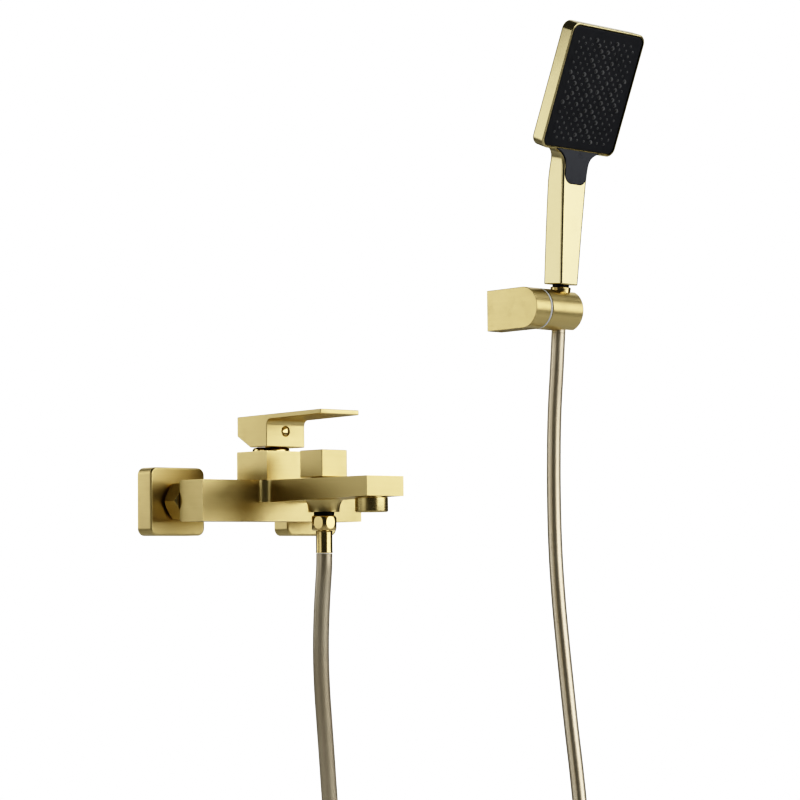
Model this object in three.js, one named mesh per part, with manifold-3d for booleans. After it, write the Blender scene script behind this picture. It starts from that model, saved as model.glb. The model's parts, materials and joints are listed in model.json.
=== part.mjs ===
// Wall mounted bath and shower mixer with a hand shower, its hose and its wall holder.
// Millimetres. X runs along the wall to the user's right, Y points into the wall, Z is up.
// The origin is on the wall's surface, midway between the two inlets, at their height.
import * as THREE from 'three';
import { mergeVertices } from 'three/addons/utils/BufferGeometryUtils.js';
import Module from 'manifold-3d';

const wasm = await Module();
wasm.setup();

// ---------- driving dimensions ----------
const GAP = 0.3;                 // left between two pieces that touch
const FIT = 0.35;                // clearance round a turning or sliding piece

const INLET_CENTRES = 150;       // between the hot and the cold inlet
const PLATE_SIZE = 57.4;         // square wall flange
const PLATE_DEPTH = 18;
const PLATE_CORNER = 6.5;
const PLATE_EDGE = 1.6;          // bevel round the flange's front
const PLATE_WALL = 2.5;
const UNION_RADIUS = 11;         // round shank of the eccentric union
const UNION_THREAD = 10.3;       // its thread into the wall
const UNION_BORE = 6.5;
const UNION_REACH = 18;          // thread length behind the wall's surface
const UNION_OFFSET = 5;          // how far the wall end sits below the mixer end
const NUT_FLATS = 30;            // across flats of the union nut
const NUT_LENGTH = 16.4;

const BAR_LENGTH = 176;
const BAR_DEPTH = 31;
const BAR_HEIGHT = 34.6;
const BAR_BACK = 37;             // from the wall to the bar's back face
const SPOUT_WIDTH = 40.3;
const SPOUT_REACH = 195;         // from the wall to the spout's tip
const SPOUT_ROOT_DEPTH = 18.6;   // thickness where it leaves the bar
const SPOUT_TIP_DEPTH = 16.3;
const SPOUT_FILLET = 9;          // upright hollow between the bar and the spout
const CHANNEL = 5;               // radius of the water channels

const HOUSING_WIDTH = 42.4;      // cartridge housing, along X
const HOUSING_DEPTH = 40;        // and along Y
const HOUSING_HEIGHT = 25;       // above the bar
const CARTRIDGE_Y = -51;         // the cartridge's upright axis
const CARTRIDGE_RADIUS = 17.2;
const POCKET_FLOOR = 2;

const LEVER_GAP = 3.4;           // from the housing's top to the lever's hub
const HUB_WIDTH = 42.4;
const HUB_DEPTH = 39;
const HUB_HEIGHT = 26.6;
const HUB_WALL = 3;
const HUB_CHAMFER_RUN = 17.3;    // lets the hub's back dip as the lever lifts
const HUB_CHAMFER_RISE = 10.1;
const BLADE_REACH = 140.2;       // from the wall to the blade's tip
const BLADE_THICK = 4.1;
const BLADE_RISE = 1.8;
const PIN_HEIGHT = 27;           // the lever's tilt axis
const SPINDLE = 7;               // square spindle of the cartridge
const SPINDLE_ENTRY = 15;        // how far the spindle enters the lever's hub
const CAP_RADIUS = 3.2;

const OUTLET_Y = -119;           // diverter and shower outlet share this upright axis
const KNOB_SIZE = 28;
const KNOB_HEIGHT = 22.7;
const KNOB_LIFT = 1;             // shadow gap under the knob
const BOSS_TOP_RADIUS = 17;
const BOSS_FOOT_RADIUS = 13;
const BOSS_HEIGHT = 10.2;
const NIPPLE_RADIUS = 8.6;
const NECK_LENGTH = 3;
const HOSE_NUT_RADIUS = 11;
const HOSE_NUT_LENGTH = 12.3;
const FERRULE_RADIUS = 7;
const FERRULE_LENGTH = 18.6;
const HOSE_DIAMETER = 13.4;
const HOSE_SIDES = 10;
const HOSE_STEPS = 64;
const HOSE_JOINT = 1.7;          // between the fixed hose and the tail that moves with the hand shower

const AERATOR_Y = -178;
const AERATOR_RADIUS = 13.5;
const AERATOR_DROP = 12.6;       // below the spout's underside

const HOLDER_LEFT = 314.6;       // left face of the hand shower holder
const HOLDER_BASE_LENGTH = 19.6;
const RING_LENGTH = 2.2;         // white friction ring
const BARREL_LENGTH = 42.5;
const HOLDER_RADIUS = 19.6;
const HOLDER_Y = -47;            // the holder's level axis, parallel to the wall
const HOLDER_Z = 186.8;
const SOCKET_X = 366;            // where the hand shower's axis crosses it
const HANDLE_LEAN = 5;           // degrees that the handle leans into the room

const CONE_TOP_RADIUS = 9.9;     // conical nut under the handle
const CONE_FOOT_RADIUS = 8.2;
const CONE_TOP = 22.3;           // heights along the handle's axis, from the holder's axis
const CONE_FOOT = -8;
const HOSE_TAIL_END = -21.4;
const HANDLE_START = 24.7;
const HANDLE_TOP = 158;
const HANDLE_BORE = 7.6;
const HEAD_WIDTH = 101;
const HEAD_LENGTH = 121;
const HEAD_DEPTH = 15.6;
const HEAD_CORNER = 9;
const HEAD_WALL = 2;
const HEAD_TILT = 17.4;          // degrees that the head bends forward of the handle
const HEAD_Y = -23.9;            // the head's middle, in the handle's frame
const HEAD_Z = 211.5;
const BUTTON_WIDTH = 20;
const BUTTON_LENGTH = 27;
const BUTTON_THICK = 3;
const BUTTON_PROUD = 0.9;        // above the neck's surface
const BUTTON_TRAVEL = 2;
const BUTTON_FOOT = 121;
const BUTTON_LEAN = 4;

// ---------- heights and places that follow ----------
const BAR_TOP = BAR_HEIGHT / 2;
const BAR_FRONT = -(BAR_BACK + BAR_DEPTH);
const HOUSING_TOP = BAR_TOP + HOUSING_HEIGHT;
const HUB_FOOT = HOUSING_TOP + LEVER_GAP;
const HUB_TOP = HUB_FOOT + HUB_HEIGHT;
const SPOUT_UNDER = BAR_TOP - SPOUT_ROOT_DEPTH;
const SPOUT_TIP_UNDER = BAR_TOP - SPOUT_TIP_DEPTH;
const spoutUnderAt = (y) => SPOUT_UNDER
  + (SPOUT_TIP_UNDER - SPOUT_UNDER) * (BAR_FRONT - y) / (SPOUT_REACH + BAR_FRONT);
const OUTLET_UNDER = spoutUnderAt(OUTLET_Y);
const BOSS_FOOT = OUTLET_UNDER - BOSS_HEIGHT;
const NUT_TOP = BOSS_FOOT - NECK_LENGTH;
const NUT_FOOT = NUT_TOP - HOSE_NUT_LENGTH;
const FERRULE_TOP = NUT_FOOT - GAP;
const FERRULE_FOOT = FERRULE_TOP - FERRULE_LENGTH;
const HOSE_START = FERRULE_FOOT - GAP;
const HOSE_RADIUS = HOSE_DIAMETER / 2;
const NUT_RADIUS = NUT_FLATS / 2 / Math.cos(Math.PI / 6);
const BARREL_LEFT = HOLDER_LEFT + HOLDER_BASE_LENGTH + RING_LENGTH + 2 * GAP;
const rad = THREE.MathUtils.degToRad;

// ---------- materials ----------
const finish = (color, roughness, metalness) => () =>
  new THREE.MeshStandardMaterial({ color, roughness, metalness });
const brushedGold = finish(0xc9b27c, 0.34, 1);
const polishedGold = finish(0xe0c98c, 0.16, 1);
const brass = finish(0xb89a55, 0.4, 1);
const steel = finish(0xb4b6b8, 0.35, 1);
const blackPlastic = finish(0x37373a, 0.5, 0);
const greyPlastic = finish(0x8d9094, 0.55, 0);
const whitePlastic = finish(0xe9e9e6, 0.5, 0);
const rubber = finish(0x1f1f20, 0.85, 0);
const ceramic = finish(0xf0efe9, 0.25, 0);
const hoseSkin = finish(0xb9ab90, 0.35, 0.6);

// ---------- geometry helpers ----------
function solid(geometry) {
  const plain = geometry.clone();
  plain.deleteAttribute('normal');
  plain.deleteAttribute('uv');
  const merged = mergeVertices(plain, 1e-4);
  const vertProperties = new Float32Array(merged.attributes.position.array);
  const triVerts = new Uint32Array(merged.index.array);
  return new wasm.Manifold(new wasm.Mesh({ numProp: 3, vertProperties, triVerts }));
}

function geometryOf(manifold) {
  const mesh = manifold.getMesh();
  const geometry = new THREE.BufferGeometry();
  geometry.setAttribute('position', new THREE.BufferAttribute(mesh.vertProperties, 3));
  geometry.setIndex(new THREE.BufferAttribute(mesh.triVerts, 1));
  geometry.computeVertexNormals();
  return geometry;
}

const cut = (base, ...tools) =>
  geometryOf(tools.reduce((body, tool) => body.subtract(solid(tool)), solid(base)));
const join = (base, ...more) =>
  geometryOf(more.reduce((body, piece) => body.add(solid(piece)), solid(base)));
const common = (base, ...more) =>
  geometryOf(more.reduce((body, piece) => body.intersect(solid(piece)), solid(base)));

// Turns a profile of [radius, height] points about Z. A ring's profile closes on itself.
function turned(profile, segments = 24) {
  const closed = profile[0][0] > 0 || profile[profile.length - 1][0] > 0;
  const points = profile.map(([r, h]) => new THREE.Vector2(r, h));
  if (closed) points.push(points[0].clone());
  const geometry = new THREE.LatheGeometry(points, segments);
  geometry.rotateX(Math.PI / 2);
  return facingOut(geometry);
}

function facingOut(geometry) {
  const { array } = geometry.attributes.position;
  const index = geometry.index.array;
  const corner = (i) => new THREE.Vector3().fromArray(array, index[i] * 3);
  let volume = 0;
  for (let i = 0; i < index.length; i += 3) {
    volume += corner(i).dot(corner(i + 1).cross(corner(i + 2)));
  }
  if (volume < 0) index.reverse();
  return geometry;
}

const rod = (radius, from, to, segments = 18) =>
  turned([[0, from], [radius, from], [radius, to], [0, to]], segments);
const ring = (inner, outer, from, to, segments = 22) =>
  turned([[inner, from], [outer, from], [outer, to], [inner, to]], segments);
const at = (geometry, x, y, z) => geometry.translate(x, y, z);
const alongX = (geometry) => geometry.rotateY(Math.PI / 2);
const intoRoom = (geometry) => geometry.rotateX(Math.PI / 2);
const intoWall = (geometry) => geometry.rotateX(-Math.PI / 2);

function box(x0, x1, y0, y1, z0, z1) {
  const geometry = new THREE.BoxGeometry(x1 - x0, y1 - y0, z1 - z0);
  return geometry.translate((x0 + x1) / 2, (y0 + y1) / 2, (z0 + z1) / 2);
}

function rounded(width, height, radius) {
  const [w, h, r] = [width / 2, height / 2, radius];
  const shape = new THREE.Shape();
  shape.moveTo(-w + r, -h);
  shape.lineTo(w - r, -h).absarc(w - r, -h + r, r, -Math.PI / 2, 0);
  shape.lineTo(w, h - r).absarc(w - r, h - r, r, 0, Math.PI / 2);
  shape.lineTo(-w + r, h).absarc(-w + r, h - r, r, Math.PI / 2, Math.PI);
  shape.lineTo(-w, -h + r).absarc(-w + r, -h + r, r, Math.PI, Math.PI * 1.5);
  return shape;
}

// Extrudes a shape drawn in X and Y up from `from` to `to`, with a small rounded edge.
function slab(shape, from, to, edge = 0, curveSegments = 5) {
  const geometry = new THREE.ExtrudeGeometry(shape, {
    depth: to - from - 2 * edge, curveSegments, bevelEnabled: edge > 0,
    bevelThickness: edge, bevelSize: edge, bevelOffset: -edge, bevelSegments: 1,
  });
  return geometry.translate(0, 0, from + edge);
}

function polygon(points) {
  return new THREE.Shape(points.map(([x, y]) => new THREE.Vector2(x, y)));
}

// A side outline drawn as [y, z] points, extruded across the width, centred on X = 0.
function sideways(points, width) {
  const geometry = slab(polygon(points), -width / 2, width / 2);
  geometry.rotateX(Math.PI / 2);
  return geometry.rotateZ(Math.PI / 2);
}

const hexagon = (radius, from, to) => turned([[0, from], [radius, from], [radius, to], [0, to]], 6);

function piece(name, geometry, material) {
  const mesh = new THREE.Mesh(geometry, material());
  mesh.name = name;
  return mesh;
}

// ---------- wall connections ----------
const NUT_FOOT_Y = -(BAR_BACK - GAP);
const NUT_HEAD_Y = NUT_FOOT_Y + NUT_LENGTH;
const TAIL_RADIUS = 9;           // union's tail inside the nut
const FILTER_THICK = 2;
const INLET_BOSS = 12.6;         // threaded stub on the bar's back, inside the nut
const INLET_BOSS_LENGTH = 9;
const NUT_THREAD = INLET_BOSS + FIT;

function wallPlate() {
  const outline = rounded(PLATE_SIZE, PLATE_SIZE, PLATE_CORNER);
  const shell = slab(outline, -PLATE_EDGE, PLATE_DEPTH, PLATE_EDGE);
  const beyondWall = box(-PLATE_SIZE, PLATE_SIZE, -PLATE_SIZE, PLATE_SIZE, -2 * PLATE_EDGE, 0);
  const inside = PLATE_SIZE - 2 * PLATE_WALL;
  const hollow = slab(rounded(inside, inside, PLATE_CORNER - PLATE_WALL), -1, PLATE_DEPTH - PLATE_WALL);
  const hole = rod(UNION_RADIUS + FIT, -1, PLATE_DEPTH + 1);
  return intoRoom(cut(shell, beyondWall, hollow, hole));
}

function eccentricUnion() {
  const collarY = NUT_FOOT_Y + INLET_BOSS_LENGTH + FILTER_THICK + 2 * GAP;
  const shank = rod(UNION_RADIUS, 1, -NUT_HEAD_Y - GAP);
  const tail = rod(TAIL_RADIUS, 1, -collarY);
  const collar = rod(NUT_THREAD - FIT, -collarY - 3, -collarY);
  const wallEnd = at(rod(UNION_THREAD, -UNION_REACH, 2), 0, -UNION_OFFSET, 0);
  const hex = at(hexagon(UNION_THREAD - 0.4, 0.5, 4), 0, -UNION_OFFSET, 0);
  const bore = rod(UNION_BORE, -3, -collarY + 1);
  const wallBore = at(rod(UNION_BORE, -UNION_REACH - 1, 0.5), 0, -UNION_OFFSET, 0);
  return intoRoom(cut(join(shank, tail, collar, wallEnd, hex), bore, wallBore));
}

function unionNut() {
  const crown = turned([[0, 0], [NUT_RADIUS - 1.6, 0], [NUT_RADIUS, 1.4],
    [NUT_RADIUS, NUT_LENGTH - 1.4], [NUT_RADIUS - 1.6, NUT_LENGTH], [0, NUT_LENGTH]], 36);
  const body = common(hexagon(NUT_RADIUS, 0, NUT_LENGTH).rotateZ(Math.PI / 6), crown);
  const collarTop = INLET_BOSS_LENGTH + FILTER_THICK + 3 + 3 * GAP;
  const thread = rod(NUT_THREAD, -1, collarTop);
  const neck = rod(TAIL_RADIUS + FIT, -1, NUT_LENGTH + 1);
  const turnedNut = cut(body, thread, neck);
  return at(intoWall(turnedNut), 0, NUT_FOOT_Y, 0);
}

function inletFilter() {
  const washer = ring(UNION_BORE, NUT_THREAD - FIT - 0.6, 0, FILTER_THICK, 24);
  return at(intoWall(washer), 0, NUT_FOOT_Y + INLET_BOSS_LENGTH + GAP, 0);
}

function wallConnections() {
  const group = new THREE.Group();
  for (const [side, sign] of [['left', -1], ['right', 1]]) {
    const inlet = new THREE.Group();
    inlet.position.x = sign * INLET_CENTRES / 2;
    inlet.add(
      piece(`escutcheon_${side}`, wallPlate(), brushedGold),
      piece(`eccentric_union_${side}`, eccentricUnion(), brass),
      piece(`union_nut_${side}`, unionNut(), brushedGold),
      piece(`inlet_filter_${side}`, inletFilter(), rubber));
    group.add(inlet);
  }
  return group;
}

// ---------- mixer body ----------
const POCKET_RADIUS = CARTRIDGE_RADIUS + GAP;
const CHANNEL_Z = (BAR_TOP + SPOUT_UNDER) / 2;
const PORT_X = 7;                // hot and cold ports under the cartridge
const PORT_RADIUS = 3.2;
const OUTLET_PORT = 11;          // mixed water's port, in front of the cartridge's axis
const ARM_Z = -6;                // height of the hot and cold channels in the bar
const VALVE_RADIUS = 6.6;        // diverter's plug
const BONNET_RADIUS = 9;
const BONNET_FOOT = CHANNEL_Z + CHANNEL + 0.8;
const SEAT_FOOT = OUTLET_UNDER - 4;
const NIPPLE_TOP = SEAT_FOOT - 0.6;
const AERATOR_UNDER = spoutUnderAt(AERATOR_Y);
const AERATOR_THREAD = 10.8;
const AERATOR_SEAT = 6;          // depth of the aerator's thread in the spout

function spoutBlock() {
  const root = BAR_FRONT + BAR_DEPTH / 8;
  const outline = [[root, BAR_TOP], [-SPOUT_REACH, BAR_TOP], [-SPOUT_REACH, SPOUT_TIP_UNDER],
    [BAR_FRONT, SPOUT_UNDER], [root, SPOUT_UNDER]];
  return sideways(outline, SPOUT_WIDTH);
}

// The hollow that carries the bar's front round into one side of the spout.
function spoutHollow(sign) {
  const [side, front, r] = [SPOUT_WIDTH / 2, -BAR_FRONT, SPOUT_FILLET];
  const points = [[side - 2, front - 2], [side + r, front - 2]];
  for (let i = 0; i <= 6; i += 1) {
    const angle = (i / 6) * Math.PI / 2;
    points.push([side + r - r * Math.sin(angle), front + r - r * Math.cos(angle)]);
  }
  points.push([side - 2, front + r]);
  const outline = polygon(points.map(([x, y]) => [sign * x, y]));
  return slab(outline, -BAR_TOP, -SPOUT_UNDER - 0.4).rotateX(Math.PI);
}

function shellBlocks() {
  const half = BAR_LENGTH / 2;
  const bar = box(-half, half, BAR_FRONT, -BAR_BACK, -BAR_HEIGHT / 2, BAR_TOP);
  const housing = box(-HOUSING_WIDTH / 2, HOUSING_WIDTH / 2, CARTRIDGE_Y - HOUSING_DEPTH / 2,
    CARTRIDGE_Y + HOUSING_DEPTH / 2, BAR_TOP - 3, HOUSING_TOP);
  const boss = turned([[0, BOSS_FOOT], [BOSS_FOOT_RADIUS, BOSS_FOOT],
    [BOSS_FOOT_RADIUS + 0.4, BOSS_FOOT + 4], [BOSS_FOOT_RADIUS + 1.8, BOSS_FOOT + 7.6],
    [BOSS_TOP_RADIUS, OUTLET_UNDER + 0.2], [BOSS_TOP_RADIUS, OUTLET_UNDER + 2],
    [0, OUTLET_UNDER + 2]], 36);
  const stubs = [-1, 1].map((sign) => at(intoWall(rod(INLET_BOSS, -2, INLET_BOSS_LENGTH)),
    sign * INLET_CENTRES / 2, -BAR_BACK, 0));
  const hollows = [spoutHollow(1), spoutHollow(-1)];
  return join(bar, spoutBlock(), ...hollows, housing, at(boss, 0, OUTLET_Y, 0), ...stubs);
}

function waterways() {
  const arm = INLET_CENTRES / 2 - PORT_X + CHANNEL;
  const armX = (PORT_X + INLET_CENTRES / 2) / 2;
  const barY = -(BAR_BACK + BAR_DEPTH / 2);
  const outletY = CARTRIDGE_Y - OUTLET_PORT;
  const tools = [];
  for (const sign of [-1, 1]) {
    const entry = intoRoom(rod(UNION_BORE, -INLET_BOSS_LENGTH - 1, BAR_DEPTH / 2 + 3));
    tools.push(at(entry, sign * INLET_CENTRES / 2, -BAR_BACK, 0));
    tools.push(at(alongX(rod(CHANNEL, -arm / 2, arm / 2)), sign * armX, barY, ARM_Z));
    tools.push(at(rod(PORT_RADIUS, ARM_Z, POCKET_FLOOR + 1, 16), sign * PORT_X, barY + 4, 0));
  }
  const outletPort = at(rod(PORT_RADIUS + 0.6, CHANNEL_Z - 2, POCKET_FLOOR + 9, 16), 0, outletY, 0);
  const spoutChannel = at(intoRoom(rod(CHANNEL, 0, outletY - AERATOR_Y)), 0, outletY, CHANNEL_Z);
  return [...tools, outletPort, spoutChannel];
}

function mixerBody() {
  const pocket = at(rod(POCKET_RADIUS, POCKET_FLOOR, HOUSING_TOP + 1, 36), 0, CARTRIDGE_Y, 0);
  const bonnetHole = rod(BONNET_RADIUS + GAP, BONNET_FOOT - GAP, BAR_TOP + 1);
  const seat = rod(VALVE_RADIUS + FIT, SEAT_FOOT, BAR_TOP, 20);
  const nippleHole = rod(NIPPLE_RADIUS - 0.6 + GAP, BOSS_FOOT - 1, NIPPLE_TOP + GAP, 24);
  const seatDrain = rod(PORT_RADIUS + 1, NIPPLE_TOP - 1, SEAT_FOOT + 1, 16);
  const seatTop = AERATOR_UNDER + AERATOR_SEAT;
  const aeratorHole = at(rod(AERATOR_THREAD + GAP, AERATOR_UNDER - 2, seatTop), 0, AERATOR_Y, 0);
  const aeratorFeed = at(rod(CHANNEL - 0.5, seatTop - 1, CHANNEL_Z, 18), 0, AERATOR_Y, 0);
  const outlet = [bonnetHole, seat, nippleHole, seatDrain].map((tool) => at(tool, 0, OUTLET_Y, 0));
  return cut(shellBlocks(), pocket, ...waterways(), ...outlet, aeratorHole, aeratorFeed);
}

// ---------- cartridge ----------
const SEAL_TOP = POCKET_FLOOR + GAP + 2;
const CASE_FOOT = SEAL_TOP + GAP;
const CASE_TOP = 35.5;
const CASE_WALL = 2.7;
const CHAMBER_FLOOR = CASE_FOOT + 3;
const DISC_THICK = 3;
const FIXED_DISC_FOOT = CHAMBER_FLOOR + GAP;
const MOVING_DISC_FOOT = FIXED_DISC_FOOT + DISC_THICK + GAP;
const MOVING_DISC_RADIUS = CARTRIDGE_RADIUS - 6.8;
const DISC_REST = 2.2;           // the moving disc's rest place, toward the wall
const CARRIER_FOOT = MOVING_DISC_FOOT + DISC_THICK + GAP;
const CARRIER_TOP = CARRIER_FOOT + 4.2;
const TURRET_FOOT = CARRIER_TOP + GAP;
const TURRET_RADIUS = CARTRIDGE_RADIUS - 3.2;
const NECK_RADIUS = CARTRIDGE_RADIUS - 5.4;
const TURRET_SHOULDER = 33;
const NECK_TOP = 39.5;
const PIN_RADIUS = 1.4;
const RING_BORE = CARTRIDGE_RADIUS - 3.6;
const DOME_RADIUS = CARTRIDGE_RADIUS - 1.2;
const DOME_TOP = 45.9;
const pinHole = () =>
  at(alongX(rod(PIN_RADIUS + GAP, -TURRET_RADIUS - 1, TURRET_RADIUS + 1, 14)), 0, 0, PIN_HEIGHT);
const portsAt = (from, to, radius) => [[-PORT_X, 5], [PORT_X, 5], [0, -7.5]].map(([x, y]) =>
  at(rod(radius, from, to, 14), x, y, 0));

function cartridgeSeal() {
  return cut(rod(CARTRIDGE_RADIUS - 0.4, POCKET_FLOOR + GAP, SEAL_TOP, 30), ...portsAt(0, 9, 3.4));
}

function cartridgeCase() {
  const shell = rod(CARTRIDGE_RADIUS, CASE_FOOT, CASE_TOP, 36);
  const chamber = rod(CARTRIDGE_RADIUS - CASE_WALL, CHAMBER_FLOOR, TURRET_SHOULDER + FIT, 36);
  const mouth = rod(NECK_RADIUS + FIT, CHAMBER_FLOOR, CASE_TOP + 1, 30);
  return cut(shell, chamber, mouth, ...portsAt(CASE_FOOT - 1, CHAMBER_FLOOR + 1, 3));
}

function fixedDisc() {
  const disc = rod(CARTRIDGE_RADIUS - CASE_WALL - GAP, FIXED_DISC_FOOT, FIXED_DISC_FOOT + DISC_THICK, 30);
  return cut(disc, ...portsAt(FIXED_DISC_FOOT - 1, FIXED_DISC_FOOT + DISC_THICK + 1, 2.6));
}

function movingDisc() {
  const top = MOVING_DISC_FOOT + DISC_THICK;
  const chamber = slab(rounded(13, 9, 3), MOVING_DISC_FOOT - 1, top - 1.2);
  return cut(rod(MOVING_DISC_RADIUS, MOVING_DISC_FOOT, top, 28), chamber);
}

function discCarrier() {
  const half = SPINDLE / 2 - 1 + FIT;
  const socket = box(-half, half, -3.4, 3.4, CARRIER_FOOT + 1.2, CARRIER_TOP + 1);
  return cut(rod(MOVING_DISC_RADIUS, CARRIER_FOOT, CARRIER_TOP, 28), socket);
}

function turret() {
  const body = turned([[0, TURRET_FOOT], [TURRET_RADIUS, TURRET_FOOT], [TURRET_RADIUS, TURRET_SHOULDER],
    [NECK_RADIUS, TURRET_SHOULDER], [NECK_RADIUS, NECK_TOP], [0, NECK_TOP]], 32);
  const half = SPINDLE / 2 + FIT;
  const slot = [[-half - 5.5, TURRET_FOOT - 1], [half + 2, TURRET_FOOT - 1], [half + 0.6, PIN_HEIGHT],
    [half + 6.6, NECK_TOP + 1], [-half - 1, NECK_TOP + 1], [-half - 0.6, PIN_HEIGHT]];
  return cut(body, sideways(slot, SPINDLE + 2 * FIT), pinHole());
}

function spindle() {
  const h = SPINDLE / 2;
  const shank = box(-h, h, -h, h, CARRIER_TOP + 1.2, HUB_FOOT + SPINDLE_ENTRY);
  const foot = box(-h + 1, h - 1, -2, 2, CARRIER_FOOT + 1.8, CARRIER_TOP + 2);
  return cut(join(shank, foot), pinHole());
}

function retainingRing() {
  const foot = CASE_TOP + GAP;
  const profile = [[RING_BORE, foot], [CARTRIDGE_RADIUS, foot], [CARTRIDGE_RADIUS, HOUSING_TOP - 1],
    [DOME_RADIUS, HOUSING_TOP - 0.4], [DOME_RADIUS, HOUSING_TOP + 0.8],
    [DOME_RADIUS - 0.7, DOME_TOP - 1.1], [DOME_RADIUS - 1.7, DOME_TOP], [RING_BORE, DOME_TOP]];
  return turned(profile, 36);
}

function cartridge() {
  const group = new THREE.Group();
  group.position.y = CARTRIDGE_Y;
  const pinReach = TURRET_RADIUS - 0.6;
  const pin = at(alongX(rod(PIN_RADIUS, -pinReach, pinReach, 14)), 0, 0, PIN_HEIGHT);
  const disc = piece('moving_disc', movingDisc(), ceramic);
  disc.position.y = DISC_REST;
  group.add(
    piece('cartridge_seal', cartridgeSeal(), rubber),
    piece('cartridge_case', cartridgeCase(), greyPlastic),
    piece('fixed_disc', fixedDisc(), ceramic),
    piece('cartridge_turret', turret(), greyPlastic),
    piece('turret_pin', pin, steel),
    piece('cartridge_spindle', spindle(), brass),
    piece('retaining_ring', retainingRing(), polishedGold),
    piece('disc_carrier', discCarrier(), greyPlastic),
    disc);
  return group;
}

// ---------- lever ----------
const SCREW_Z = HUB_FOOT + 13.4;
const LUG_RADIUS = 7.4;
const LUG_FOOT = HUB_FOOT + 7.8;
const CAVITY_TOP = HUB_FOOT + 17;
const SCREW_RADIUS = 2.4;

function leverHandle() {
  const back = HUB_DEPTH / 2;
  const tip = -(BLADE_REACH + CARTRIDGE_Y);
  const outline = [[back, HUB_TOP], [tip, HUB_TOP + BLADE_RISE],
    [tip, HUB_TOP + BLADE_RISE - BLADE_THICK], [-back - 2.4, HUB_TOP - 3.5],
    [-back - 0.7, HUB_TOP - 4.2], [-back, HUB_TOP - 6], [-back, HUB_FOOT],
    [back - HUB_CHAMFER_RUN, HUB_FOOT], [back, HUB_FOOT + HUB_CHAMFER_RISE]];
  const outer = sideways(outline, HUB_WIDTH);
  const [w, d] = [HUB_WIDTH / 2 - HUB_WALL, back - HUB_WALL];
  const lug = rod(LUG_RADIUS, LUG_FOOT, CAVITY_TOP + 1);
  const cavity = cut(box(-w, w, -d, d, HUB_FOOT - 1, CAVITY_TOP), lug);
  const h = SPINDLE / 2 + GAP;
  const socket = box(-h, h, -h, h, HUB_FOOT, HUB_FOOT + SPINDLE_ENTRY + GAP);
  const screwHole = at(intoRoom(rod(SCREW_RADIUS + GAP, 0, back + 1, 16)), 0, 0, SCREW_Z);
  const capHole = at(intoRoom(rod(CAP_RADIUS + GAP, back - 2.4, back + 1, 20)), 0, 0, SCREW_Z);
  return cut(outer, cavity, socket, screwHole, capHole);
}

function lever() {
  const group = new THREE.Group();
  group.position.y = CARTRIDGE_Y;
  const screw = rod(SCREW_RADIUS, SPINDLE / 2 + GAP, HUB_DEPTH / 2 - 4, 16);
  const cap = turned([[0, -2], [CAP_RADIUS, -2], [CAP_RADIUS, -0.3], [CAP_RADIUS - 0.5, 0.2],
    [0, 0.5]], 20);
  group.add(
    piece('lever_handle', leverHandle(), brushedGold),
    piece('lever_set_screw', at(intoRoom(screw), 0, 0, SCREW_Z), steel),
    piece('lever_screw_cap', at(intoRoom(cap), 0, -HUB_DEPTH / 2, SCREW_Z), polishedGold));
  return group;
}

// ---------- diverter ----------
const KNOB_FOOT = BAR_TOP + KNOB_LIFT;
const KNOB_TOP = KNOB_FOOT + KNOB_HEIGHT;
const STEM_RADIUS = 4;
const STEM_TOP = KNOB_FOOT + 17;
const BONNET_TOP = KNOB_FOOT + 7;
const KNOB_BORE = BONNET_RADIUS + 1.6;
const GRUB_RADIUS = 1.6;
const GRUB_Z = BONNET_TOP + 5;

function diverterKnob() {
  const half = KNOB_SIZE / 2;
  const block = box(-half, half, -half, half, KNOB_FOOT, KNOB_TOP);
  const recess = rod(KNOB_BORE, KNOB_FOOT - 1, BONNET_TOP + 1);
  const stemHole = rod(STEM_RADIUS + GAP, KNOB_FOOT, STEM_TOP + GAP, 16);
  const screwHole = at(intoWall(rod(GRUB_RADIUS + GAP, 0, half + 1, 14)), 0, 0, GRUB_Z);
  return cut(block, recess, stemHole, screwHole);
}

function diverterSpindle() {
  const plug = rod(VALVE_RADIUS, SEAT_FOOT + GAP, BONNET_FOOT - 2 * GAP, 20);
  const port = at(intoRoom(rod(CHANNEL - 1.2, -20, 20, 16)), 0, 0, CHANNEL_Z);
  const well = rod(PORT_RADIUS + 0.4, SEAT_FOOT - 1, CHANNEL_Z, 16);
  return cut(join(plug, rod(STEM_RADIUS, 0, STEM_TOP, 16)), port, well);
}

function diverter() {
  const group = new THREE.Group();
  group.position.y = OUTLET_Y;
  const grooveFoot = BONNET_TOP - 4.5;
  const [bore, grooveTop] = [STEM_RADIUS + FIT, grooveFoot + 2.4];
  const bonnet = turned([[bore, BONNET_FOOT], [BONNET_RADIUS, BONNET_FOOT], [BONNET_RADIUS, BONNET_TOP],
    [bore, BONNET_TOP], [bore, grooveTop], [STEM_RADIUS + 2, grooveTop],
    [STEM_RADIUS + 2, grooveFoot], [bore, grooveFoot]], 26);
  const sealRadius = STEM_RADIUS + 2 - GAP;
  const seal = ring(STEM_RADIUS + GAP, sealRadius, grooveFoot + GAP, grooveTop - GAP, 22);
  const screw = at(intoWall(rod(GRUB_RADIUS, STEM_RADIUS + GAP, KNOB_SIZE / 2 - 2, 14)), 0, 0, GRUB_Z);
  group.add(
    piece('diverter_knob', diverterKnob(), brushedGold),
    piece('diverter_spindle', diverterSpindle(), brass),
    piece('diverter_bonnet', bonnet, brass),
    piece('diverter_seal', seal, rubber),
    piece('diverter_grub_screw', screw, steel));
  return group;
}

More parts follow.
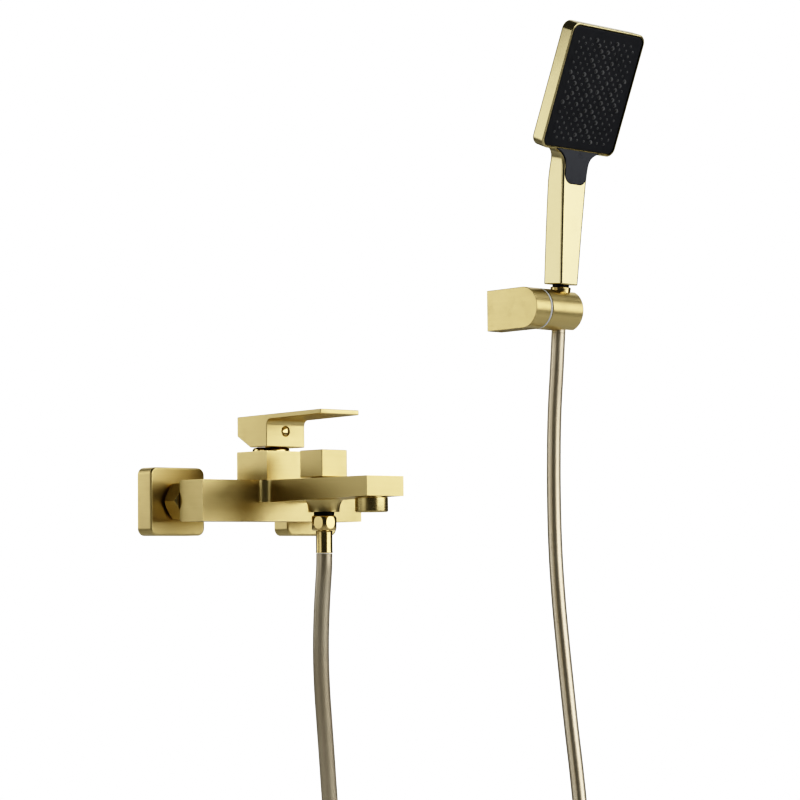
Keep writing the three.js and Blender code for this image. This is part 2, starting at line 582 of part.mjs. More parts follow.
// ---------- aerator ----------
function aerator() {
  const group = new THREE.Group();
  group.position.set(0, AERATOR_Y, AERATOR_UNDER);
  const top = AERATOR_SEAT - GAP - 1.6;
  const housing = turned([[9.4, -AERATOR_DROP], [AERATOR_RADIUS - 1.2, -AERATOR_DROP],
    [AERATOR_RADIUS, -AERATOR_DROP + 1], [AERATOR_RADIUS, -0.6], [AERATOR_THREAD, -0.6],
    [AERATOR_THREAD, top], [9.4, top]], 36);
  const disc = rod(9, -AERATOR_DROP + 2.2, top - 2, 28);
  const ribs = [-6, -3, 0, 3, 6].map((x) =>
    box(x - 0.5, x + 0.5, -6, 6, -AERATOR_DROP + 1.4, -AERATOR_DROP + 2.4));
  const insert = join(disc, ...ribs);
  const washer = ring(5.2, 10.4, top + GAP, top + GAP + 1.2, 26);
  group.add(
    piece('aerator_housing', housing, polishedGold),
    piece('aerator_insert', insert, greyPlastic),
    piece('aerator_washer', washer, rubber));
  return group;
}

// ---------- shower outlet and the hose's lower end ----------
const THREAD_RADIUS = 9.2;
const WASHER_THICK = 2;
const NIPPLE_FOOT = NUT_TOP - 7.5;
const NIPPLE_BORE = 5.6;

function showerOutlet() {
  const group = new THREE.Group();
  group.position.y = OUTLET_Y;
  const [foot, top, thread] = [NIPPLE_FOOT, NIPPLE_TOP, THREAD_RADIUS];
  const nipple = turned([[NIPPLE_BORE, foot], [thread - 0.4, foot], [thread, foot + 1],
    [thread, NUT_TOP - 0.5], [NIPPLE_RADIUS, NUT_TOP - 0.2], [NIPPLE_RADIUS, BOSS_FOOT - GAP],
    [NIPPLE_RADIUS - 0.6, BOSS_FOOT - GAP], [NIPPLE_RADIUS - 0.6, top], [NIPPLE_BORE, top]], 28);
  const valveRadius = NIPPLE_BORE - 0.4;
  const valve = turned([[0, foot + 2], [3, foot + 2], [valveRadius, foot + 5], [valveRadius, top - 1],
    [3.4, top - 1], [3.4, top - 5], [0, top - 5]], 20);
  const washer = ring(4.4, thread - 0.4, foot - GAP - WASHER_THICK, foot - GAP, 24);
  group.add(
    piece('outlet_nipple', nipple, blackPlastic),
    piece('check_valve', valve, whitePlastic),
    piece('hose_washer_lower', washer, rubber),
    piece('hose_nut_lower', hoseNut(), polishedGold),
    piece('hose_ferrule_lower', lowerFerrule(), polishedGold));
  return group;
}

const NUT_TURN = THREE.MathUtils.degToRad(51);   // a corner between two flats looks at the viewer

function hoseNut() {
  const crown = turned([[0, NUT_FOOT], [HOSE_NUT_RADIUS - 2.4, NUT_FOOT], [HOSE_NUT_RADIUS, NUT_FOOT + 3],
    [HOSE_NUT_RADIUS, NUT_TOP - 1.4], [HOSE_NUT_RADIUS - 0.8, NUT_TOP], [0, NUT_TOP]], 48);
  const corner = (HOSE_NUT_RADIUS - 0.8) / Math.cos(Math.PI / 6);
  const facets = hexagon(corner, NUT_FOOT, NUT_TOP).rotateZ(NUT_TURN);
  const thread = rod(THREAD_RADIUS + GAP, NIPPLE_FOOT - 2 * GAP - WASHER_THICK, NUT_TOP + 1, 24);
  return cut(common(facets, crown), thread, rod(5.6, NUT_FOOT - 1, NUT_TOP, 20));
}

function lowerFerrule() {
  const [radius, foot, top] = [FERRULE_RADIUS, FERRULE_FOOT, FERRULE_TOP];
  return turned([[0, foot], [radius - 0.4, foot], [radius, foot + 0.6],
    [radius, top - 0.6], [radius - 0.4, top], [5.2, top],
    [5.2, NUT_FOOT + 2.4], [3.6, NUT_FOOT + 2.4], [3.6, foot + 3], [0, foot + 3]], 26);
}

// ---------- the hose ----------
// Its route, from the ferrule under the spout down into a free hanging loop and up to the holder.
const HOSE_ROUTE = [
  [0, OUTLET_Y, HOSE_START], [0, OUTLET_Y + 0.4, HOSE_START - 12], [0.2, -116.6, -74], [0.9, -113.6, -100],
  [2.2, -111.2, -128], [4.6, -109.4, -156], [7.6, -108.4, -184], [11, -107.2, -212], [14.6, -105.8, -242],
  [18.8, -104.6, -280], [23.5, -103.6, -322], [29.5, -103, -366], [38, -103, -415], [50, -103.4, -458],
  [68, -104.4, -500], [94, -106.5, -536], [128, -109.5, -561], [165, -112.5, -570], [201, -116, -563],
  [233, -119, -540], [259, -121.5, -506], [279, -123, -464], [294, -122.5, -419], [306.5, -119, -374],
  [318, -111.5, -330], [327.5, -101, -290], [335.5, -89, -250], [342, -77.5, -212], [348, -66.5, -170],
  [353, -56.7, -128], [357.5, -48, -85], [360.8, -42, -42], [363.4, -38.6, 2], [365.2, -37.4, 46],
  [366, -38.6, 90], [366.2, -42, 130],
];

function hoseEnd() {
  const axis = new THREE.Vector3(0, -Math.sin(rad(HANDLE_LEAN)), Math.cos(rad(HANDLE_LEAN)));
  const centre = new THREE.Vector3(SOCKET_X, HOLDER_Y, HOLDER_Z);
  return centre.addScaledVector(axis, HOSE_TAIL_END - HOSE_JOINT);
}

function hose() {
  const points = HOSE_ROUTE.map(([x, y, z]) => new THREE.Vector3(x, y, z));
  points.push(hoseEnd());
  const section = new THREE.Shape();
  for (let i = 0; i < HOSE_SIDES; i += 1) {
    const angle = (i / HOSE_SIDES) * 2 * Math.PI;
    section[i ? 'lineTo' : 'moveTo'](HOSE_RADIUS * Math.cos(angle), HOSE_RADIUS * Math.sin(angle));
  }
  const extrudePath = new THREE.CatmullRomCurve3(points, false, 'centripetal');
  return new THREE.ExtrudeGeometry(section, { steps: HOSE_STEPS, extrudePath });
}

// ---------- hand shower holder ----------
const BASE_WALL = 3;
const BOLT_RADIUS = 3;
const BOLT_END = 13;             // how far the pivot bolt reaches into the barrel
const PLATE_THICK = 2.5;
const SOCKET_CLEAR = 0.4;
const SLOT_WIDTH = HOSE_DIAMETER + 1.2;
const HOSE_HOLE = HOSE_RADIUS + 1;
const SCREW_SPREAD = 7.2;        // between the holder's axis height and each wall screw

function holderOutline(radius, length) {
  const shape = new THREE.Shape();
  shape.moveTo(0, -radius);
  shape.lineTo(length, -radius).absarc(length, 0, radius, -Math.PI / 2, Math.PI / 2);
  shape.lineTo(0, radius);
  return shape;
}

// Turns an outline drawn as (distance from the wall, height) so that it is extruded along X.
function acrossX(geometry) {
  const away = new THREE.Vector3(0, -1, 0);
  const down = new THREE.Vector3(0, 0, -1);
  const along = new THREE.Vector3(1, 0, 0);
  return geometry.applyMatrix4(new THREE.Matrix4().makeBasis(away, down, along));
}

function holderBase() {
  const reach = -HOLDER_Y;
  const shape = holderOutline(HOLDER_RADIUS, reach);
  const block = acrossX(slab(shape, 0, HOLDER_BASE_LENGTH, 0, 20));
  const [inner, high] = [HOLDER_BASE_LENGTH - BASE_WALL, HOLDER_RADIUS - BASE_WALL - 1.5];
  const hollow = box(BASE_WALL, inner, -reach - 8, 1, -high, high);
  const boltHole = at(alongX(rod(BOLT_RADIUS + GAP, 0, HOLDER_BASE_LENGTH, 16)), BASE_WALL + 3, -reach, 0);
  const grubHole = at(rod(2 + GAP, -HOLDER_RADIUS - 1, -high + 1, 14), HOLDER_BASE_LENGTH / 2, -9, 0);
  return cut(block, hollow, boltHole, grubHole);
}

function wallPlateOfHolder() {
  const [x0, x1] = [BASE_WALL + GAP, HOLDER_BASE_LENGTH - BASE_WALL - GAP];
  const high = HOLDER_RADIUS - BASE_WALL - 1.5 - GAP;
  const plate = box(x0, x1, -PLATE_THICK, 0, -high, high);
  const lip = box(x0, x1, -14, -1, -high, -high + 2.5);
  const holes = [-1, 1].map((sign) => at(intoRoom(rod(2.2 + GAP, -1, 5, 14)), (x0 + x1) / 2, 0,
    sign * SCREW_SPREAD));
  return cut(join(plate, lip), ...holes);
}

// Drawn from the wall's surface out: what is inside the wall isn't part of the object.
function wallScrew() {
  const [head, top] = [PLATE_THICK + GAP, PLATE_THICK + 2.6];
  const profile = [[0, 0], [2, 0], [2, head], [3.4, head], [3.4, top - 1], [2.4, top], [0, top]];
  return intoRoom(turned(profile, 16));
}

function barrel() {
  const length = BARREL_LENGTH;
  const body = alongX(turned([[0, 0], [HOLDER_RADIUS, 0], [HOLDER_RADIUS, length - 0.8],
    [HOLDER_RADIUS - 0.8, length], [0, length]], 44));
  const sx = SOCKET_X - BARREL_LEFT;
  const lean = rad(HANDLE_LEAN);
  const slope = (CONE_TOP_RADIUS - CONE_FOOT_RADIUS) / (CONE_TOP - CONE_FOOT);
  const coneAt = (h) => CONE_FOOT_RADIUS + SOCKET_CLEAR + (h - CONE_FOOT) * slope;
  const mouth = CONE_TOP + 1.7;
  const cone = turned([[0, CONE_FOOT - GAP], [coneAt(CONE_FOOT), CONE_FOOT - GAP],
    [coneAt(mouth), mouth], [0, mouth]], 28);
  const way = rod(HOSE_HOLE, -24, 0, 24);
  const slot = box(0, 40, -SLOT_WIDTH / 2, SLOT_WIDTH / 2, -26, 26);
  const socket = [cone, way, slot].map((tool) => at(tool.rotateX(lean), sx, 0, 0));
  const boltHole = alongX(rod(BOLT_RADIUS + GAP, -1, BOLT_END + 1, 16));
  const springSeat = alongX(rod(8.4, -1, 2.4, 24));
  return cut(body, ...socket, boltHole, springSeat);
}

function holder() {
  const group = new THREE.Group();
  group.position.set(HOLDER_LEFT, 0, HOLDER_Z);
  const ringX = HOLDER_BASE_LENGTH + GAP;
  const barrelX = BARREL_LEFT - HOLDER_LEFT;
  const boltHead = HOLDER_BASE_LENGTH - BASE_WALL - GAP;
  const bolt = turned([[0, -3.4], [4.8, -3.4], [4.8, 0], [BOLT_RADIUS, 0],
    [BOLT_RADIUS, barrelX + BOLT_END - boltHead], [0, barrelX + BOLT_END - boltHead]], 20);
  const onAxis = (geometry, x) => at(alongX(geometry), x, HOLDER_Y, 0);
  const frictionRing = ring(9, HOLDER_RADIUS - 0.2, 0, RING_LENGTH, 44);
  const waveWasher = ring(BOLT_RADIUS + 0.6, 8, GAP, 2.4 - GAP, 24);
  const plateMid = HOLDER_BASE_LENGTH / 2;
  const grub = at(rod(2, -HOLDER_RADIUS + 1, -HOLDER_RADIUS + 4.4, 14), plateMid, -9, 0);
  const swivel = piece('swivel_barrel', barrel(), brushedGold);
  swivel.position.set(barrelX, HOLDER_Y, 0);
  group.add(
    piece('holder_base', holderBase(), brushedGold),
    piece('holder_wall_plate', wallPlateOfHolder(), steel),
    piece('holder_grub_screw', grub, steel),
    piece('pivot_bolt', onAxis(bolt, boltHead), steel),
    piece('friction_ring', onAxis(frictionRing, ringX), whitePlastic),
    piece('wave_washer', onAxis(waveWasher, barrelX), steel),
    swivel);
  for (const [name, sign] of [['upper', 1], ['lower', -1]]) {
    const screw = piece(`holder_wall_screw_${name}`, wallScrew(), steel);
    screw.position.set(plateMid, 0, sign * SCREW_SPREAD);
    group.add(screw);
  }
  return group;
}

// ---------- hose's upper end and hand shower ----------
// Everything here is drawn in the handle's frame: Z along the handle, -Y out of its front.
const UPPER_THREAD = 7.2;
const SHOULDER = 8;              // inside the conical nut
const COLLAR_RADIUS = 8;
const TUBE_TOP = 112;

function upperHoseEnd() {
  const bore = UPPER_THREAD + GAP;
  const nut = turned([[6, CONE_FOOT], [CONE_FOOT_RADIUS, CONE_FOOT], [CONE_TOP_RADIUS, CONE_TOP - 0.4],
    [CONE_TOP_RADIUS - 0.4, CONE_TOP], [bore, CONE_TOP], [bore, SHOULDER], [6, SHOULDER]], 32);
  const washer = ring(3.8, UPPER_THREAD - 0.3, SHOULDER + GAP, SHOULDER + GAP + 1.4, 22);
  const [shoulder, top] = [CONE_FOOT - GAP, SHOULDER - GAP];
  const tail = turned([[0, HOSE_TAIL_END], [HOSE_RADIUS, HOSE_TAIL_END], [HOSE_RADIUS, shoulder],
    [5.6, shoulder], [5.6, top], [3.4, top], [3.4, CONE_FOOT - 4], [0, CONE_FOOT - 4]], 24);
  return [piece('cone_nut_upper', nut, polishedGold), piece('hose_washer_upper', washer, rubber),
    piece('hose_tail_upper', tail, hoseSkin)];
}

// Sections of the handle: height, centre, width, depth and corner radius.
const HANDLE_SECTIONS = [
  [HANDLE_START, 0, 22.4, 22.8, 2.2], [HANDLE_START + 1.2, 0, 23.8, 24.2, 2.6], [75, -0.4, 28.2, 23.5, 2.8],
  [124, -1.5, 33, 22.2, 3], [138, -3.2, 35.4, 20.4, 3.4], [148, -5, 41, 17.4, 4],
  [HANDLE_TOP, -7.4, 50, 13, 4.5],
];

function sectionRing([z, y, width, depth, radius], perCorner = 5) {
  const points = [];
  const [w, d] = [width / 2 - radius, depth / 2 - radius];
  for (const [cx, cy, start] of [[w, d, 0], [-w, d, 90], [-w, -d, 180], [w, -d, 270]]) {
    for (let i = 0; i < perCorner; i += 1) {
      const angle = rad(start + (i / (perCorner - 1)) * 90);
      points.push([cx + radius * Math.cos(angle), y + cy + radius * Math.sin(angle), z]);
    }
  }
  return points;
}

function loft(sections) {
  const rings = sections.map((section) => sectionRing(section));
  const count = rings[0].length;
  const positions = rings.flat(2);
  const index = [];
  for (let s = 0; s + 1 < rings.length; s += 1) {
    for (let i = 0; i < count; i += 1) {
      const [a, b] = [s * count + i, s * count + ((i + 1) % count)];
      index.push(a, b, b + count, a, b + count, a + count);
    }
  }
  const last = (rings.length - 1) * count;
  for (let i = 1; i + 1 < count; i += 1) {
    index.push(0, i + 1, i, last, last + i, last + i + 1);
  }
  const geometry = new THREE.BufferGeometry();
  geometry.setAttribute('position', new THREE.BufferAttribute(new Float32Array(positions), 3));
  geometry.setIndex(new THREE.BufferAttribute(new Uint32Array(index), 1));
  return geometry;
}

// Lays a slab, drawn with its outside facing +Z, into the head's tilted plane.
const inHead = (geometry) =>
  geometry.rotateX(Math.PI / 2).rotateX(rad(HEAD_TILT)).translate(0, HEAD_Y, HEAD_Z);
const headSlab = (inset, from, to, edge = 0) => inHead(slab(rounded(HEAD_WIDTH - 2 * inset,
  HEAD_LENGTH - 2 * inset, HEAD_CORNER - inset * 0.6), from, to, edge, 6));
const FACE = HEAD_DEPTH / 2;

// The button lies on the neck's front, leaning with it. Its frame's +Z points out of the neck.
const NECK_FRONT = -12.6;
const BUTTON_BED = BUTTON_PROUD - BUTTON_THICK - BUTTON_TRAVEL - GAP;
const onNeck = (geometry) => geometry.rotateX(Math.PI / 2).rotateX(rad(BUTTON_LEAN))
  .translate(0, NECK_FRONT, BUTTON_FOOT + BUTTON_LENGTH / 2);
const buttonSlab = (grow, from, to) => slab(rounded(BUTTON_WIDTH + 2 * grow, BUTTON_LENGTH + 2 * grow,
  BUTTON_WIDTH / 2 - 1 + grow), from, to, 0, 5);

function showerShell() {
  const outer = join(loft(HANDLE_SECTIONS), headSlab(0, -FACE, FACE, 2.2));
  const hollow = headSlab(HEAD_WALL, -FACE + HEAD_WALL + 0.6, FACE + 2);
  const bore = rod(HANDLE_BORE, HANDLE_START - 1, TUBE_TOP + GAP, 22);
  const channel = at(rod(4.2, 0, 52, 16).rotateX(rad(7.4)), 0, 0.5, TUBE_TOP - 2);
  return cut(outer, hollow, bore, channel, onNeck(buttonSlab(GAP, BUTTON_BED, 8)));
}

const SPRING_WIRE = 0.5;
const SPRING_RADIUS = 2.4;
const SPRING_WELL = 1.6;         // hollow for the spring under the button
const SPRING_TURNS = 2;
const STEPS_PER_TURN = 8;

function buttonSpring() {
  const from = BUTTON_BED + GAP + SPRING_WIRE / 2;
  const to = BUTTON_PROUD - BUTTON_THICK + SPRING_WELL - GAP - SPRING_WIRE / 2;
  const steps = SPRING_TURNS * STEPS_PER_TURN;
  const points = [];
  for (let i = 0; i <= steps; i += 1) {
    const angle = (i / STEPS_PER_TURN) * 2 * Math.PI;
    points.push(new THREE.Vector3(SPRING_RADIUS * Math.cos(angle), SPRING_RADIUS * Math.sin(angle),
      from + (to - from) * i / steps));
  }
  const wire = new THREE.Shape().absarc(0, 0, SPRING_WIRE / 2, 0, Math.PI * 2);
  const extrudePath = new THREE.CatmullRomCurve3(points);
  return new THREE.ExtrudeGeometry(wire, { steps, curveSegments: 3, extrudePath });
}

function waterTube() {
  const foot = SHOULDER + 2 * GAP + 1.6;
  const [collarFoot, collarTop] = [CONE_TOP + GAP, HANDLE_START - GAP];
  const tube = HANDLE_BORE - GAP;
  return turned([[4.4, foot], [UPPER_THREAD, foot], [UPPER_THREAD, collarFoot], [COLLAR_RADIUS, collarFoot],
    [COLLAR_RADIUS, collarTop], [tube, collarTop], [tube, TUBE_TOP], [5, TUBE_TOP], [4.4, 60]], 22);
}

function handShower() {
  const cover = headSlab(HEAD_WALL + GAP, FACE - 2.8, FACE - 0.6);
  const mat = headSlab(HEAD_WALL + GAP + 1.5, FACE - 4.6, FACE - 3.1);
  const spreader = headSlab(HEAD_WALL + GAP + 1.5, FACE - 7.4, FACE - 4.9);
  const inletHole = inHead(at(rod(6, -4, 12, 20), 0, -44, 0));
  const foot = BUTTON_PROUD - BUTTON_THICK;
  const button = onNeck(cut(buttonSlab(0, foot, BUTTON_PROUD), rod(3.4, foot - 1, foot + SPRING_WELL, 16)));
  return [
    piece('shower_shell', showerShell(), brushedGold),
    piece('spray_face', cover, blackPlastic),
    piece('nozzle_mat', mat, rubber),
    piece('spray_distributor', cut(spreader, inletHole), whitePlastic),
    piece('handle_water_tube', waterTube(), blackPlastic),
    piece('mode_button', button, blackPlastic),
    piece('button_spring', onNeck(buttonSpring()), steel),
  ];
}

function handShowerSet() {
  const group = new THREE.Group();
  group.position.set(SOCKET_X, HOLDER_Y, HOLDER_Z);
  group.rotation.x = rad(HANDLE_LEAN);
  group.add(...upperHoseEnd(), ...handShower());
  return group;
}

// ---------- the whole object ----------
const faucet = new THREE.Group();
faucet.add(
  wallConnections(),
  piece('mixer_body', mixerBody(), brushedGold),
  cartridge(),
  lever(),
  diverter(),
  aerator(),
  showerOutlet(),
  piece('shower_hose', hose(), hoseSkin),
  holder(),
  handShowerSet());

export default faucet;
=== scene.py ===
# %% [markdown]
# # A wall mounted bath mixer with a hand shower
# The finished object is a square, brushed gold bath mixer on two wall flanges. A hose leaves the outlet
# under its spout, hangs in a long loop and climbs to a hand shower in a swivelling holder. The imported
# model already places every part, so this lesson only gives each part its softer shape and its finish.
# Everything is drawn in millimetres, which suits parts of this size, and scaled to metres as each piece is
# finished.

# %% load the frame
import json
import math

import bmesh
import bpy
from mathutils import Matrix, Vector


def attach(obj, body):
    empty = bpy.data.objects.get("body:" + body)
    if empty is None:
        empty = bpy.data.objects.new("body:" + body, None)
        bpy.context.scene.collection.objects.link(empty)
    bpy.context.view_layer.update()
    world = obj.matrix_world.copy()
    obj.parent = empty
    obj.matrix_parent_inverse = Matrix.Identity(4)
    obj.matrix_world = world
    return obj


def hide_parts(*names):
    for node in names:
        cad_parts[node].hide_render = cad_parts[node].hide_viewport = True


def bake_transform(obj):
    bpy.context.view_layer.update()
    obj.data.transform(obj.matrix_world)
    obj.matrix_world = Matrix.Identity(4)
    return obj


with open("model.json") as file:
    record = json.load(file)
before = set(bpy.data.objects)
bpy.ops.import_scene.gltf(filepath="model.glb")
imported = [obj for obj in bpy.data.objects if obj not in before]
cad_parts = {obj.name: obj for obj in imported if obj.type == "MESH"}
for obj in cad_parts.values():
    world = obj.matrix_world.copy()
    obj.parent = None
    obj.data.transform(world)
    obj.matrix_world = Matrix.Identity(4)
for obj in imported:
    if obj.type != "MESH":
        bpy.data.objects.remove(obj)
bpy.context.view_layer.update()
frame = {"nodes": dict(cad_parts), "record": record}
nodes = frame["nodes"]

MM = 0.001
INLET_X = 75.0  # each inlet, from the middle of the bar
BAR_HALF, BAR_TOP, BAR_FRONT, BAR_BACK = 88, 17.3, -68.0, -37
SPOUT_HALF, SPOUT_TIP = 20.15, -195
HUB_HALF = 21.2  # half the width of the square housing and of the lever above it
CARTRIDGE_Y, OUTLET_Y, AERATOR_Y = -51.0, -119.0, -178.0
HOLDER_Y, HOLDER_Z, SOCKET_X = -47.0, 186.8, 366.0
HANDLE_LEAN = math.radians(5)

# %% [markdown]
# ## Camera
# A long lens a little over two metres away keeps the sides of the spout nearly parallel. The camera stands
# to the left of the mixer, slightly below the hand shower, and looks a few degrees upward. A camera looks
# along its own -Z axis, so the three directions of its frame are the columns of its rotation.

# %% camera
YAW, PITCH, ROLL = math.radians(43.03), math.radians(3.77), math.radians(-0.6)
LENS, SENSOR = 112.5, 36
CAMERA_PLACE = (-1.3772, -1.6887, -0.0551)


def add_camera():
    ahead = Vector((math.sin(YAW) * math.cos(PITCH), math.cos(YAW) * math.cos(PITCH), math.sin(PITCH)))
    level = Vector((math.cos(YAW), -math.sin(YAW), 0))
    upright = level.cross(ahead)
    across = level * math.cos(ROLL) + upright * math.sin(ROLL)
    upward = upright * math.cos(ROLL) - level * math.sin(ROLL)
    data = bpy.data.cameras.new("camera")
    data.lens, data.sensor_width = LENS, SENSOR
    data.clip_start, data.clip_end = 0.05, 60
    camera = bpy.data.objects.new("camera", data)
    bpy.context.scene.collection.objects.link(camera)
    turn = Matrix((across, upward, -ahead)).transposed().to_4x4()
    camera.matrix_world = Matrix.Translation(CAMERA_PLACE) @ turn
    bpy.context.scene.camera = camera
    return camera


camera = add_camera()
print("camera at", [round(v, 3) for v in camera.location])

# %% [markdown]
# ## Building helpers
# Each piece starts in a bmesh, Blender's editable mesh. Three starts cover nearly all of this object: a
# block, a profile turned about an axis, and a flat outline that is pulled straight. Real castings have no
# knife edges, so the edges are then bevelled. Holes are cut with an exact Boolean, whose result is applied
# at once.

# %% starts: block, turned profile, rod, pulled outline
WELD = 0.0005


def block(x0, x1, y0, y1, z0, z1):
    bm = bmesh.new()
    place = Matrix.Translation(((x0 + x1) / 2, (y0 + y1) / 2, (z0 + z1) / 2))
    size = Matrix.Diagonal((x1 - x0, y1 - y0, z1 - z0, 1))
    bmesh.ops.create_cube(bm, size=1, matrix=place @ size)
    return bm


def turned(profile, segments=64):
    bm = bmesh.new()
    points = [bm.verts.new((radius, 0, height)) for radius, height in profile]
    edges = [bm.edges.new(pair) for pair in zip(points, points[1:])]
    if profile[0][0] > 0:
        edges.append(bm.edges.new((points[-1], points[0])))
    bmesh.ops.spin(bm, geom=points + edges, cent=(0, 0, 0), axis=(0, 0, 1), angle=math.tau,
                   steps=segments, use_merge=True)
    bmesh.ops.remove_doubles(bm, verts=bm.verts, dist=WELD)
    bmesh.ops.recalc_face_normals(bm, faces=bm.faces)
    return bm


def rod(radius, start, end, segments=48):
    """A solid round bar about Z, which is also the tool for every round hole."""
    return turned([(0, start), (radius, start), (radius, end), (0, end)], segments)


def pulled(outline, start, end):
    """A flat outline of (x, y) points, pulled along Z from start to end."""
    bm = bmesh.new()
    face = bm.faces.new([bm.verts.new((x, y, start)) for x, y in outline])
    moved = bmesh.ops.extrude_face_region(bm, geom=[face])["geom"]
    far_side = [g for g in moved if isinstance(g, bmesh.types.BMVert)]
    bmesh.ops.translate(bm, verts=far_side, vec=(0, 0, end - start))
    bmesh.ops.recalc_face_normals(bm, faces=bm.faces)
    return bm


def arc(cx, cy, radius, start, end, steps):
    """Points on an arc, angles in degrees."""
    turns = [math.radians(start + (end - start) * i / steps) for i in range(steps + 1)]
    return [(cx + radius * math.cos(a), cy + radius * math.sin(a)) for a in turns]


def rounded(width, height, radius, steps=8):
    w, h = width / 2 - radius, height / 2 - radius
    corners = [(w, h, 0), (-w, h, 90), (-w, -h, 180), (w, -h, 270)]
    return [p for cx, cy, a in corners for p in arc(cx, cy, radius, a, a + 90, steps)]


def hexagon(half_flats, turn=0):
    corner = half_flats / math.cos(math.radians(30))
    angles = [math.radians(turn + 60 * i) for i in range(6)]
    return [(corner * math.cos(a), corner * math.sin(a)) for a in angles]


# %% placing, softening and cutting
ALONG_X = Matrix.Rotation(math.radians(90), 4, "Y")
INTO_ROOM = Matrix.Rotation(math.radians(90), 4, "X")
INTO_WALL = Matrix.Rotation(math.radians(-90), 4, "X")
SIDEWAYS = Matrix(((0, 0, 1, 0), (1, 0, 0, 0), (0, 1, 0, 0), (0, 0, 0, 1)))
SHOWER = Matrix.Translation((SOCKET_X, HOLDER_Y, HOLDER_Z)) @ Matrix.Rotation(HANDLE_LEAN, 4, "X")
NEAR = 0.01  # an edge this close to a face's plane counts as lying on it
CUT_WELD = 0.001


def placed(bm, *turns):
    for turn in turns:
        bmesh.ops.transform(bm, matrix=turn, verts=bm.verts)
    return bm


def at(x, y, z):
    return Matrix.Translation((x, y, z))


def soften(bm, width, segments=3, sharper=25, where=lambda middle: True):
    """Bevels the folds that are sharper than an angle in degrees, where their middle passes the test."""
    bmesh.ops.remove_doubles(bm, verts=bm.verts, dist=WELD)
    folds = [e for e in bm.edges if len(e.link_faces) == 2 and e.calc_face_angle(0) > math.radians(sharper)]
    sharp = [e for e in folds if where((e.verts[0].co + e.verts[1].co) / 2)]
    bmesh.ops.bevel(bm, geom=sharp, offset=width, offset_type="OFFSET", segments=segments, profile=0.5,
                    affect="EDGES", clamp_overlap=True, material=-1)
    return bm


def mesh_object(bm, name="tool"):
    mesh = bpy.data.meshes.new(name)
    bm.to_mesh(mesh)
    bm.free()
    thing = bpy.data.objects.new(name, mesh)
    bpy.context.scene.collection.objects.link(thing)
    return thing


def combined(base, tools, operation):
    target = mesh_object(base)
    helpers = [mesh_object(tool) for tool in tools]
    for helper in helpers:
        step = target.modifiers.new("combine", "BOOLEAN")
        step.operation, step.solver, step.object = operation, "EXACT", helper
    bpy.context.view_layer.update()
    result = bmesh.new()
    result.from_object(target, bpy.context.evaluated_depsgraph_get())
    for thing in [target, *helpers]:
        mesh = thing.data
        bpy.data.objects.remove(thing)
        bpy.data.meshes.remove(mesh)
    bmesh.ops.remove_doubles(result, verts=result.verts, dist=CUT_WELD)
    bmesh.ops.dissolve_degenerate(result, edges=result.edges, dist=CUT_WELD)
    return result


def cut(base, *tools):
    return combined(base, tools, "DIFFERENCE")


def joined(base, *more):
    return combined(base, more, "UNION")


# %% [markdown]
# ## Finishing a piece
# A finished piece is scaled to metres, shaded smooth except across sharp folds, and given its material.
# Weighted normals keep the wide flat faces flat beside their narrow bevels. The piece then rides on the
# body that carries it, and the plain node that it refines is hidden.

# %% finish a piece
def in_metres(bm, name, material, fold=35):
    """The mesh becomes an object in metres, smooth except across folds sharper than an angle in degrees."""
    bmesh.ops.scale(bm, vec=(MM, MM, MM), verts=bm.verts)
    bmesh.ops.recalc_face_normals(bm, faces=bm.faces)
    piece = mesh_object(bm, name)
    for face in piece.data.polygons:
        face.use_smooth = True
    piece.data.set_sharp_from_angle(angle=math.radians(fold))
    piece.data.materials.append(material)
    print(name, len(piece.data.polygons), "faces")
    return piece


def finished(bm, name, material, body, stands_for):
    piece = in_metres(bm, name, material)
    weighted = piece.modifiers.new("weighted normals", "WEIGHTED_NORMAL")
    weighted.keep_sharp = True
    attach(piece, body)
    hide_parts(*stands_for)
    return piece


# %% [markdown]
# ## Finishes
# Brushed gold is brass plating over metal that was rubbed with a fine abrasive belt. Three things make it
# look real: the belt's fine lines, which run lengthwise on each face, a slow drift in tone, and a painted
# highlight that lightens every edge, which is also made a little smoother. Each of these effects is a node
# group, so that every finish can use it with its own values. The groups put out only masks and heights. The
# shader itself stays in each material.

# %% node helpers
def node_group(name, inputs, outputs):
    tree = bpy.data.node_groups.new(name, "ShaderNodeTree")
    for label, kind, default in inputs:
        tree.interface.new_socket(label, in_out="INPUT", socket_type=kind).default_value = default
    for label in outputs:
        tree.interface.new_socket(label, in_out="OUTPUT", socket_type="NodeSocketFloat")
    return tree, tree.nodes.new("NodeGroupInput").outputs, tree.nodes.new("NodeGroupOutput").inputs


def add(tree, kind, inputs=None, **settings):
    node = tree.nodes.new(kind)
    for label, value in settings.items():
        setattr(node, label, value)
    for label, value in (inputs or {}).items():
        if isinstance(value, bpy.types.NodeSocket):
            tree.links.new(value, node.inputs[label])
        else:
            node.inputs[label].default_value = value
    return node


def sums(tree, operation, first, second):
    node = add(tree, "ShaderNodeMath", {0: first, 1: second}, operation=operation)
    return node.outputs[0]


def stretched(tree, vector, scale):
    return add(tree, "ShaderNodeMapping", {"Vector": vector, "Scale": scale}).outputs["Vector"]


def noise(tree, vector, scale, detail=2.0, roughness=0.5):
    node = add(tree, "ShaderNodeTexNoise", {"Vector": vector, "Scale": scale, "Detail": detail,
                                            "Roughness": roughness})
    return node.outputs["Fac"]


def ranged(tree, value, low, high, to_low=0.0, to_high=1.0):
    limits = {"Value": value, "From Min": low, "From Max": high, "To Min": to_low, "To Max": to_high}
    return add(tree, "ShaderNodeMapRange", limits, interpolation_type="SMOOTHSTEP").outputs["Result"]


# %% belt lines: one set of lines for each direction that a face can look in
FINE, COARSE = 3200, 520  # how many lines cross a metre, roughly
ALONG = 0.035  # a noise squeezed this much in one direction turns into lines


